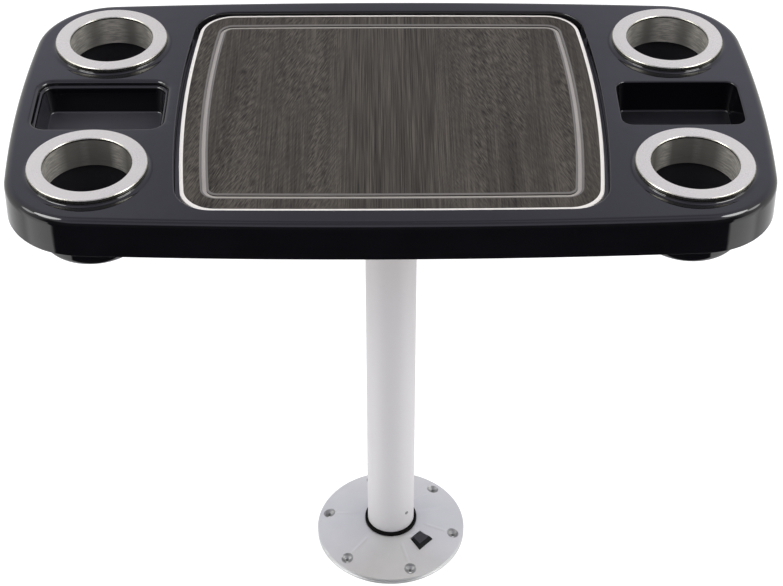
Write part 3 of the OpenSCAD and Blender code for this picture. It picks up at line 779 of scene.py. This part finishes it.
def all_materials(scene):
    c = scene.pole_table_colours
    made = {
        "gloss_black": gloss_material(c),
        # one moulding in two tones: the left tray's floor painted lighter as painted light, the right
        # one darker as painted shade
        "tray_floor_left": flecked("tray_floor_left", (0.026, 0.0255, 0.03), 0.5, bump=0.1),
        "tray_floor_right": flecked("tray_floor_right", (0.006, 0.006, 0.008), 0.38, bump=0.1),
        "tray_wall": tray_material(c, scene.pole_table_shape),
        "tray_wall_right": flecked("tray_wall_right", tuple(c.gloss), 0.12, bump=0.03, level=0.2),
        # the cup wells are painted dark grey, lighter than the moulding's black, as painted light
        # reflected in the well
        "cup_floor": flecked("cup_floor", (0.03, 0.029, 0.032), 0.16, bump=0.03),
        "board_grain": grain_material(c),
        "board_core": core_material(c),
        # groove walls, floor and chamfers are painted darker than the laminate and core: painted shade
        # in the groove, lightest on the floor
        "groove_wall": flecked("groove_wall", tone(c.laminate, 0.3), 0.5),
        "groove_floor": flecked("groove_floor", c.groove, 0.4),
        "groove_chamfer": flecked("groove_chamfer", tone(c.groove, 0.28), 0.45),
        "ring_face": steel_material(c, "ring_face", "face"),
        "ring_edge": steel_material(c, "ring_edge", "edge"),
        "ring_inner": steel_material(c, "ring_inner", "inner"),
        "ring_sleeve": steel_material(c, "ring_sleeve", "sleeve"),
        "pole_paint": pole_material(c),
        "silver_paint": silver_material(c, scene.pole_table_shape),
        "black_nylon": flecked("black_nylon", c.nylon, 0.6, bump=0.08, level=0.04),
        "button_black": flecked("button_black", c.button, 0.34, bump=0.06),
        # the button's sides are painted darker than its top: painted shade
        "button_side": flecked("button_side", tone(c.button, 0.4), 0.45, bump=0.06, level=0.12),
        "white_nylon": flecked("white_nylon", (0.68, 0.67, 0.62), 0.45),
        "zinc_screw": flecked("zinc_screw", (0.58, 0.58, 0.6), 0.3, metal=1.0),
        "dark_screw": flecked("dark_screw", (0.26, 0.26, 0.27), 0.35, metal=0.8),
        "cast_alloy": flecked("cast_alloy", (0.56, 0.56, 0.58), 0.5, metal=0.9, bump=0.3),
        "spring_steel": flecked("spring_steel", (0.38, 0.38, 0.4), 0.3, metal=1.0),
        "plywood": plywood_material(c),
    }
    return made


# Places that come from the frame

def ring_centre():
    return ((RING[0][0] + RING[1][0]) / 2, -(RING[0][1] + RING[1][1]) / 2)


def shape_mm(scene):
    """The shape properties as plain numbers in millimetres."""
    group = scene.pole_table_shape
    names = group.__annotations__
    plain = ("floor_angle", "rivets", "button_taper")
    return {k: getattr(group, k) if k in plain else getattr(group, k) / MM for k in names}


def top_form(s):
    half_w, half_d = [c - s["rim_draft"] for c in SHELL[1][:2]]
    return half_w, half_d, s["side_bow"], s["front_bow"], s["corner"]


def board_form(s, side=0.0):
    return (BOARD[1][0] + side, BOARD[1][1], s["board_bow"], s["board_front_bow"], s["board_corner"])


class PieceOperator:
    """What the operators share."""
    bl_options = {"REGISTER", "UNDO"}

    def execute(self, context):
        self.build(context.scene, shape_mm(context.scene))
        return {"FINISHED"}


class POLETABLE_OT_materials(PieceOperator, bpy.types.Operator):
    """Makes the procedural materials of all pieces"""
    bl_idname = "pole_table.materials"
    bl_label = "Materials"

    def build(self, scene, s):
        MATERIALS.update(all_materials(scene))


class POLETABLE_OT_shell(PieceOperator, bpy.types.Operator):
    """Models the moulded top with its rim, cup wells, trays, bosses and recess"""
    bl_idname = "pole_table.shell"
    bl_label = "Moulded top"

    def build(self, scene, s):
        top = RING[1][2] - s["ring_flange"] - s["boss"]
        low = SHELL[0][2]
        rim_low = self.rim_low(s)
        wall = s["wall"]
        under = top - wall
        form = top_form(s)
        e = s["edge"]
        rim = [(e, under)]
        rim += [(wall + 5 * (1 - math.cos(a)), top - e + 5 * math.sin(a))
            for a in turns(-15, 6, 75)]
        rim += [(wall - s["rim_draft"] + 0.5, rim_low + 0.2), (wall - s["rim_draft"] - 0.4, rim_low),
            (0.8 - s["rim_draft"], rim_low), (0.25 - s["rim_draft"], rim_low + 0.25),
            (-s["rim_draft"], rim_low + 0.8), (-0.6 * s["rim_draft"], rim_low + 14)]
        rim += [(e * (1 - math.cos(a)), top - e + e * math.sin(a))
            for a in turns(9, 11)]
        parts = [sweep("moulded_top", form, rim, (14, 36, 20))]

        cx, cy = ring_centre()
        seat = top + s["boss"]
        ring_r = (RING[1][0] - RING[0][0]) / 2
        foot = ring_r + s["boss_skirt"]
        well = s["well"] / 2
        wf = s["well_foot"]
        floor = low + wall
        wide, high = s["boss_skirt"] - 0.3, s["boss"] - 0.3
        cove = [(foot - wide * math.sin(a), top + high * (1 - math.cos(a)))
            for a in turns(10, 10)]
        cove += [(ring_r + 0.3, seat - 0.25), (ring_r + 0.05, seat)]
        inside = cove + [(well + 0.6, seat), (well + 0.18, seat - 0.18), (well, seat - 0.6)]
        inside += [(well, top)]
        inside += arc(well - 1 - wf, floor + wf, wf, 0, -90, 8)
        inside += [(0, floor)]
        outside = [(well + wall, under)] + arc(well + wall - 1 - wf, low + wf, wf, 0, -90, 8)
        outside += [(0, low)]
        for sx in (-1, 1):
            for sy in (-1, 1):
                parts.append(revolve("cup_inside", inside, 128, (sx * cx, sy * cy)))
                parts.append(revolve("cup_outside", outside, 64, (sx * cx, sy * cy)))

        tray = (s["tray_w"] / 2, s["tray_d"] / 2, 0.4, 0.4, s["tray_corner"])
        tf, te, td = s["tray_foot"], s["tray_edge"], s["tray_draft"]
        tz = top - s["tray_depth"]

        def tray_band(t, ledge=False):
            band = [(td + tf - t - tf * math.sin(a), tz - t + tf - tf * math.cos(a))
                for a in turns(15, 7)]
            if ledge:
                wide, deep = s["ledge"], top - s["ledge_drop"]
                inner, outer = 3, s["ledge_drop"] - 0.4
                band += [(-inner + inner * math.cos(a), deep - inner + inner * math.sin(a))
                    for a in turns(18, 6)]
                return band + [(-wide + 0.4, deep), (-wide, deep + 0.4)] + [
                    (-wide - outer + outer * math.cos(a), top - outer + outer * math.sin(a))
                    for a in turns(15, 7)[1:]]
            band += [(-te - t + te * math.cos(a), top - te - t + te * math.sin(a))
                for a in turns(15, 7)]
            return band

        for sx in (-1, 1):
            for t in (0.0, wall):
                band = sweep("tray", tray, tray_band(t, sx < 0 and not t), (3, 12, 4),
                    (sx * cx, 0))
                close(band, tz - t)
                parts.append(band)

        floor_z = BOARD[0][2]
        gap, roll = s["recess_gap"], s["recess_roll"]
        recess = board_form(s, s["recess_side"])
        for t in (0.0, wall):
            band = [(-gap - t + 0.8, floor_z - t), (-gap - t + 0.24, floor_z - t + 0.24),
                (-gap - t, floor_z - t + 0.8), (-gap - t, floor_z + 6)]
            band += [(-gap - roll - t + roll * math.cos(a), top - roll - t + roll * math.sin(a))
                for a in turns(15, 7)]
            ring = sweep("recess", recess, band, (8, 20, 8))
            close(ring, floor_z - t)
            parts.append(ring)

        ob = join("top_shell", parts)
        close(ob, top, many=True)
        close(ob, under, many=True)
        tidy_mesh(ob)
        open_edges = select(ob, "EDGE", lambda edge: not edge.is_manifold)
        if open_edges:
            raise RuntimeError("the moulded top has %d open edges" % open_edges)
        smooth(ob, 40)
        place(ob, "table_shell", "table",
            ("gloss_black", "tray_floor_left", "tray_floor_right", "cup_floor", "tray_wall",
                "tray_wall_right"))
        # tray floors, cup wells and tray walls take the materials that carry painted light and painted
        # shade
        for face in ob.data.polygons:
            x, y, z = [c / MM for c in face.center]
            left = x < 0
            along, across = abs(abs(x) - cx), abs(y)
            wall_top = top - 3 - (s["ledge_drop"] if left else 0)
            if along < tray[0] and across < tray[1] and tz - 0.5 < z < tz + 0.4:
                face.material_index = 1 if left else 2
            elif math.hypot(along, across - cy) < well + 0.1 and low + wall - 1 < z < seat - 2:
                face.material_index = 3
            elif along < tray[0] + 0.1 and across < tray[1] + 0.1 and tz < z < wall_top:
                face.material_index = 4 if left else 5

    def rim_low(self, s):
        """The rim's lower edge: the CAD shell's outermost vertices lie just above it."""
        reach = (SHELL[1][0] - 0.2) * MM
        zs = [v.co.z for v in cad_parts["table_shell"].data.vertices if v.co.x > reach]
        return min(zs) / MM - 0.8


class POLETABLE_OT_board(PieceOperator, bpy.types.Operator):
    """Models the inlay board with its bevel and routed groove"""
    bl_idname = "pole_table.board"
    bl_label = "Inlay board"

    def build(self, scene, s):
        low, top = BOARD[0][2], BOARD[1][2]
        inset, deep, chamfer = s["groove_inset"], s["groove_deep"], s["groove_chamfer"]
        out_lip, in_lip = inset - s["groove_w"] / 2, inset + s["groove_w"] / 2
        out_foot, in_foot = inset - s["groove_floor"] / 2, inset + s["groove_floor"] / 2
        bevel, fall = s["board_bevel"], s["bevel_h"]
        levels = [(0.4, low), (0, low + 0.4), (0, top - fall - 0.3), (0.1, top - fall - 0.05),
            (0.3, top - fall + 0.05), (bevel, top),
            (out_lip, top), (out_foot, top - chamfer), (out_foot, top - deep + 0.3),
            (out_foot + 0.3, top - deep), (in_foot - 0.3, top - deep),
            (in_foot, top - deep + 0.3), (in_foot, top - chamfer), (in_lip, top)]
        ob = sweep("board", board_form(s), levels, (12, 24, 10))
        close(ob, top)
        close(ob, low)
        tidy_mesh(ob)
        smooth(ob, 28)
        place(ob, "inlay_board", "table",
            ("board_grain", "board_core", "groove_wall", "groove_floor", "groove_chamfer"))
        # the groove's faces take the tones of painted shade
        for face in ob.data.polygons:
            z = face.center.z / MM
            if abs(z - top) < 0.02 or z < low + 0.01:
                face.material_index = 0
            elif abs(face.normal.z) < 0.3 and top - deep < z < top - chamfer:
                face.material_index = 2 if self.in_groove(face, s) else 1
            elif self.in_groove(face, s):
                face.material_index = 4 if z > top - chamfer else 3
            else:
                face.material_index = 1

    def in_groove(self, face, s):
        """True for a face that lies further in than the bevel."""
        x, y = abs(face.center.x) / MM, abs(face.center.y) / MM
        inset = s["board_bevel"] + 3
        bow_x = s["board_bow"] * (y / BOARD[1][1]) ** 2
        bow_y = s["board_front_bow"] * (x / BOARD[1][0]) ** 2
        edge_x, edge_y = BOARD[1][0] - bow_x - x, BOARD[1][1] - bow_y - y
        r = s["board_corner"]
        if edge_x < r and edge_y < r:
            return r - math.hypot(r - edge_x, r - edge_y) > inset
        return min(edge_x, edge_y) > inset


class POLETABLE_OT_rings(PieceOperator, bpy.types.Operator):
    """Models one metal cup ring with its sleeve and copies it to the four cups"""
    bl_idname = "pole_table.rings"
    bl_label = "Cup rings"

    def build(self, scene, s):
        cx, cy = ring_centre()
        top, low = RING[1][2], RING[0][2]
        seat = top - s["ring_flange"]
        r = (RING[1][0] - RING[0][0]) / 2
        bore, ch = s["ring_bore"] / 2, s["ring_chamfer"]
        spigot = s["well"] / 2 - 0.3
        sleeve, lip = bore + s["sleeve_wall"], s["lip"]
        inner = bore - s["lip_in"]
        # line and shade are the heights of the painted shadow lines on the outer side and at the top
        # of the bore
        line, shade = 0.8, 1.6
        points = [(bore, low + lip + 0.5), (inner + 0.1, low + lip), (inner, low + lip - 0.3),
            (inner, low + 0.3), (inner + 0.3, low), (sleeve - 0.3, low), (sleeve, low + 0.3),
            (sleeve, seat - s["spigot"]), (spigot - 0.4, seat - s["spigot"]),
            (spigot, seat - s["spigot"] + 0.4), (spigot, seat), (r - 0.25, seat), (r, seat + 0.25),
            (r, seat + line), (r, top - ch - line), (r, top - ch - 0.1), (r - 0.08, top - ch + 0.1),
            (r - ch + 0.1, top - 0.08), (r - ch - 0.1, top), (bore + ch + 0.1, top),
            (bore + ch - 0.1, top - 0.08), (bore + 0.08, top - ch + 0.1), (bore, top - ch - 0.1),
            (bore, top - ch - 0.1 - shade)]
        first = chain("ring", points + points[:1])
        bpy.ops.mesh.spin(steps=160, angle=2 * math.pi, center=(0, 0, 0), axis=(0, 0, -1),
            use_auto_merge=True)
        tidy_mesh(first)
        smooth(first, 28)
        for node in RINGS:
            sx = 1 if "right" in node else -1
            sy = 1 if "back" in node else -1
            ob = copy_of(first, node.replace("cup_ring", "ring"))
            move(ob, (sx * cx, sy * cy, 0))
            place(ob, node, "table",
                ("ring_face", "ring_edge", "ring_sleeve", "ring_inner"))
            # top face, sleeve, painted shadow lines and the edges painted darker as shade
            for face in ob.data.polygons:
                away = math.hypot(face.center.x / MM - sx * cx, face.center.y / MM - sy * cy)
                z = face.center.z / MM
                inside = away < bore + 0.3
                below = z < top - ch - 0.1
                if z > top - 0.05:
                    face.material_index = 0
                elif inside and z < top - ch - 0.1 - shade:
                    face.material_index = 2
                elif below and (inside or not seat + line < z < top - ch - line):
                    face.material_index = 3
                else:
                    face.material_index = 1
        bpy.data.objects.remove(first)


class POLETABLE_OT_pole(PieceOperator, bpy.types.Operator):
    """Models the pole with its rivet holes"""
    bl_idname = "pole_table.pole"
    bl_label = "Pole"

    def build(self, scene, s):
        r, low, top = POLE[1][0], POLE[0][2], POLE[1][2]
        inner = r - s["pole_wall"]
        points = [(inner, low), (r - 0.4, low), (r, low + 0.4), (r, top - 0.6), (r - 0.6, top),
            (inner, top), (inner, low)]
        ob = revolve("pole", points, 160)
        drills = []
        for i in range(s["rivets"]):
            drill = rod("drill", s["rivet"] / 2, inner - 3, r + 3, 32)
            turn(drill, math.pi / 2, "Y")
            move(drill, (0, 0, s["rivet_h"]))
            turn(drill, self.angle() + i * math.tau / s["rivets"])
            drills.append(drill)
        cut(ob, drills)
        tidy_mesh(ob)
        smooth(ob, 30)
        place(ob, "pole_tube", "table", ("pole_paint",))

    def angle(self):
        """Direction of the first rivet, from the CAD rivets' own vertices."""
        near = [v.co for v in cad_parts["foot_rivets"].data.vertices if v.co.x > 0 > v.co.y]
        mid = sum(near, Vector()) / len(near)
        return math.atan2(mid.y, mid.x)


class POLETABLE_OT_base(PieceOperator, bpy.types.Operator):
    """Models the floor flange with its socket, latch housing and countersunk holes"""
    bl_idname = "pole_table.base"
    bl_label = "Floor flange"

    def build(self, scene, s):
        ob = smooth_copy("base_flange", "floor_flange")
        r = FLANGE[1][0]
        half, deep = 0.6, r - 1.2
        low, high = s["edge_groove"] - half, s["edge_groove"] + half
        cut(ob, [revolve("edge_groove", [(deep, low), (r + 2, low), (r + 2, high), (deep, high),
            (deep, low)], 256)])
        tidy_mesh(ob)
        bevelled(ob, 0.35, 50, 2)
        smooth(ob, 25)
        place(ob, "base_flange", "base", ("silver_paint",))


class POLETABLE_OT_bushing(PieceOperator, bpy.types.Operator):
    """Models the nylon bushing whose rim shows as the collar"""
    bl_idname = "pole_table.bushing"
    bl_label = "Bushing"

    def build(self, scene, s):
        low, top = BUSHING[0][2], BUSHING[1][2]
        r = BUSHING[1][0]
        play, slot_half, slot_gap = 0.08, 6.4, 0.6
        inner = POLE[1][0] + play
        points = [(inner, low), (r - 0.3, low), (r, low + 0.3)]
        points += arc(r - 0.8, top - 0.8, 0.8, 0, 90, 5)
        points += arc(inner + 0.4, top - 0.4, 0.4, 90, 180, 3) + [(inner, low)]
        ob = revolve("bushing", points, 160)
        bolt_low, bolt_high = extent("latch_bolt")
        slot = block("slot", (0, -slot_half, bolt_low[2] - slot_gap),
            (r + 1, slot_half, bolt_high[2] + slot_gap))
        turn(slot, latch_angle())
        cut(ob, [slot])
        tidy_mesh(ob)
        smooth(ob, 35)
        place(ob, "base_bushing", "base", ("black_nylon",))


def latch_angle():
    """Direction of the release button from the pole's axis."""
    return math.atan2(BUTTON[0][1] + BUTTON[1][1], BUTTON[0][0] + BUTTON[1][0])


class POLETABLE_OT_button(PieceOperator, bpy.types.Operator):
    """Models the release button with rounded edges"""
    bl_idname = "pole_table.button"
    bl_label = "Release button"

    def build(self, scene, s):
        ob = smooth_copy("release_button", "button")
        top = BUTTON[1][2]
        self.taper(ob, top - s["button_taper_h"], top, s["button_taper"])
        bevelled(ob, 0.5, 25, 3)
        smooth(ob, 40)
        place(ob, "release_button", "button",
            ("button_black", "button_side"))
        # top faces take the satin black, the sides its copy painted darker as shade
        for face in ob.data.polygons:
            face.material_index = 0 if face.normal.z > 0.8 and face.center.z > 0.018 else 1

    def taper(self, ob, start, top, share):
        """Cuts the sides at a height and draws the top in by a share."""
        select(ob, "FACE", lambda face: True)
        bpy.ops.mesh.bisect(plane_co=(0, 0, start * MM), plane_no=(0, 0, 1))
        mode("OBJECT")
        select(ob, "VERT", lambda vert: vert.co.z > (start + 0.5) * MM)
        centre = [(a + b) / 2 * MM for a, b in zip(*BUTTON)]
        bpy.ops.transform.resize(value=(share, share, 1), center_override=centre)
        mode("OBJECT")


class POLETABLE_OT_fittings(PieceOperator, bpy.types.Operator):
    """Refines the inner and lower fittings, and finishes the springs"""
    bl_idname = "pole_table.fittings"
    bl_label = "Fittings"

    def build(self, scene, s):
        for node, (body, slot) in COPIES.items():
            ob = smooth_copy(node, node.replace("_", "-"))
            smooth(ob, 30)
            place(ob, node, body, (slot,))
        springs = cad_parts["return_springs"]
        springs.data.materials.clear()
        springs.data.materials.append(MATERIALS["spring_steel"])


class POLETABLE_OT_stage(PieceOperator, bpy.types.Operator):
    """Sets up the camera, the soft light and the white floor"""
    bl_idname = "pole_table.stage"
    bl_label = "Stage"

    def build(self, scene, s):
        p = scene.pole_table_stage
        clear()
        bpy.ops.object.camera_add(location=(0, 0, 0))
        camera = bpy.context.object
        camera.name = "camera"
        sy, cy, sp, cp = math.sin(p.yaw), math.cos(p.yaw), math.sin(p.pitch), math.cos(p.pitch)
        ahead = Vector((sy * cp, cy * cp, -sp))
        right = Vector((cy, -sy, 0))
        down = ahead.cross(right)
        across = right * math.cos(p.roll) + down * math.sin(p.roll)
        below = down * math.cos(p.roll) - right * math.sin(p.roll)
        camera.matrix_world = Matrix.Translation(p.camera_at) @ Matrix(
            (across, -below, -ahead)).transposed().to_4x4()
        camera.data.sensor_width = 36
        camera.data.lens = p.lens
        camera.data.shift_x = p.shift_x
        camera.data.shift_y = p.shift_y
        camera.data.clip_start = 0.05
        scene.camera = camera
        scene.view_settings.view_transform = "Standard"

        bpy.ops.mesh.primitive_plane_add(size=40, location=(0, 0, -0.0005))
        floor = bpy.context.object
        floor.name = "floor"
        floor.data.materials.append(self.floor_material(p))
        floor.visible_glossy = False
        for turned in (-1, 1):
            clear()
            bpy.ops.object.light_add(type="SUN", location=(turned, -1, 2))
            light = bpy.context.object
            light.name = "fill_light"
            light.data.energy = p.fill
            light.data.angle = math.radians(70)
            above = Vector((turned * 0.72, -0.25, 0.6))
            light.rotation_euler = above.to_track_quat("Z", "Y").to_euler()
            light.visible_glossy = False
            clear()
            towards = Vector((turned * 0.66, -0.22, 0.72))
            bpy.ops.object.light_add(type="AREA", location=towards * 2.2 + Vector((0, 0, 0.68)))
            box = bpy.context.object
            box.name = "mirrored_lamp"
            box.data.shape = "DISK"
            box.data.size = 0.9
            box.data.energy = p.boxes
            box.rotation_euler = towards.to_track_quat("Z", "Y").to_euler()
            box.visible_diffuse = False
        self.world(scene, p)

    def floor_material(self, p):
        """White from above, clear from below."""
        n = Nodes("floor_white")
        speck = n.noise(scale=3.0)
        n.set(colour=n.ramp(speck, (0.3, (0.36, 0.36, 0.36)), (0.7, (0.38, 0.38, 0.38))), rough=0.9,
            level=0.0)
        n.shader.inputs["Emission Color"].default_value = (1, 1, 1, 1)
        n.shader.inputs["Emission Strength"].default_value = p.floor
        clear_shader = n.add("ShaderNodeBsdfTransparent")
        mixed = n.add("ShaderNodeMixShader")
        back = n.add("ShaderNodeNewGeometry").outputs["Backfacing"]
        n.feed(mixed.inputs[0], back)
        n.feed(mixed.inputs[1], n.shader.outputs[0])
        n.feed(mixed.inputs[2], clear_shader.outputs[0])
        n.feed(n.tree.nodes["Material Output"].inputs["Surface"], mixed.outputs[0])
        return n.material

    def world(self, scene, p):
        """Even light from above, dark low in front, brighter low at both sides."""
        world = bpy.data.worlds.new("studio")
        world.use_nodes = True
        scene.world = world
        tree = world.node_tree
        n = Nodes.__new__(Nodes)
        n.tree = tree
        n.coords = n.add("ShaderNodeTexCoord").outputs["Generated"]
        x, y, z = n.parts()
        flat = n.math("MAXIMUM", 0.001, n.hypot(x, y))
        wide = n.math("ABSOLUTE", x)
        side = n.math("DIVIDE", wide, flat)
        ahead = n.math("DIVIDE", y, flat)
        wobble = n.times(n.minus(n.noise(scale=5.0), 0.5), 0.08)
        beside = n.span(n.plus(side, wobble), 0.72, 0.78)
        front = n.blend(beside, p.dark, p.side)
        lower = n.blend(n.span(ahead, -0.1, 0.15), front, 0.95)
        mirrored = n.times(n.times(n.span(ahead, 0.2, 0.6),
            n.span(z, 0.3, 0.45)), n.span(z, 0.66, 0.82, 1.0, 0.0))
        behind = n.plus(n.span(wide, 0.02, 0.2, p.behind, p.behind + 0.32),
            n.span(z, 0.5, 0.62, 0.1, 0.0))
        open_sky = n.blend(n.span(side, 0.5, 0.9), n.span(z, 0.72, 0.95, p.sky, p.zenith), p.sky)
        facing = n.times(n.span(ahead, -0.35, -0.05, 1.0, 0.0),
            n.span(z, 0.46, 0.64, 1.0, 0.0))
        facing = n.times(facing, n.span(side, 0.75, 0.95, 1.0, 0.3))
        upper = n.blend(facing, n.blend(mirrored, open_sky, behind), p.dim)
        towards_lamp = n.plus(n.times(wide, 0.833), n.plus(n.times(y, -0.02), n.times(z, 0.553)))
        upper = n.plus(upper, n.span(towards_lamp, 0.982, 0.993, 0.0, p.lamps))
        low = n.span(z, -0.1, 0.02, 1.0, 0.0)
        overhead = n.times(n.span(z, 0.4, 0.5), n.span(wide, 0.3, 0.6, 1.0, 0.0))
        tint = n.mix(n.math("MAXIMUM", mirrored, overhead), (1, 1, 1), (0.96, 0.95, 1.14))
        n.feed(tree.nodes["Background"].inputs["Color"], tint)
        n.feed(tree.nodes["Background"].inputs["Strength"], n.blend(low, upper, lower))


class POLETABLE_PT_panel(bpy.types.Panel):
    """Lists the steps that build the camper table"""
    bl_label = "Camper Table"
    bl_idname = "POLETABLE_PT_panel"
    bl_space_type = "VIEW_3D"
    bl_region_type = "UI"
    bl_category = "Camper Table"

    def draw(self, context):
        for step in STEPS:
            self.layout.operator(step.bl_idname)
        for name in ("pole_table_shape", "pole_table_colours", "pole_table_stage"):
            group = getattr(context.scene, name)
            box = self.layout.box()
            for key in group.__annotations__:
                box.prop(group, key)


STEPS = (POLETABLE_OT_materials, POLETABLE_OT_shell, POLETABLE_OT_board, POLETABLE_OT_rings,
    POLETABLE_OT_pole, POLETABLE_OT_base, POLETABLE_OT_bushing, POLETABLE_OT_button,
    POLETABLE_OT_fittings, POLETABLE_OT_stage)
GROUPS = {"pole_table_shape": PoleTableShape, "pole_table_colours": PoleTableColours,
    "pole_table_stage": PoleTableStage}


def register():
    for cls in (*GROUPS.values(), *STEPS, POLETABLE_PT_panel):
        bpy.utils.register_class(cls)
    for name, cls in GROUPS.items():
        setattr(bpy.types.Scene, name, bpy.props.PointerProperty(type=cls))


def unregister():
    for name in GROUPS:
        delattr(bpy.types.Scene, name)
    for cls in (POLETABLE_PT_panel, *reversed(STEPS), *reversed(list(GROUPS.values()))):
        bpy.utils.unregister_class(cls)


def main():
    register()
    for step in STEPS:
        family, name = step.bl_idname.split(".")
        done(step.bl_label, getattr(getattr(bpy.ops, family), name)())


if __name__ == "__main__":
    main()
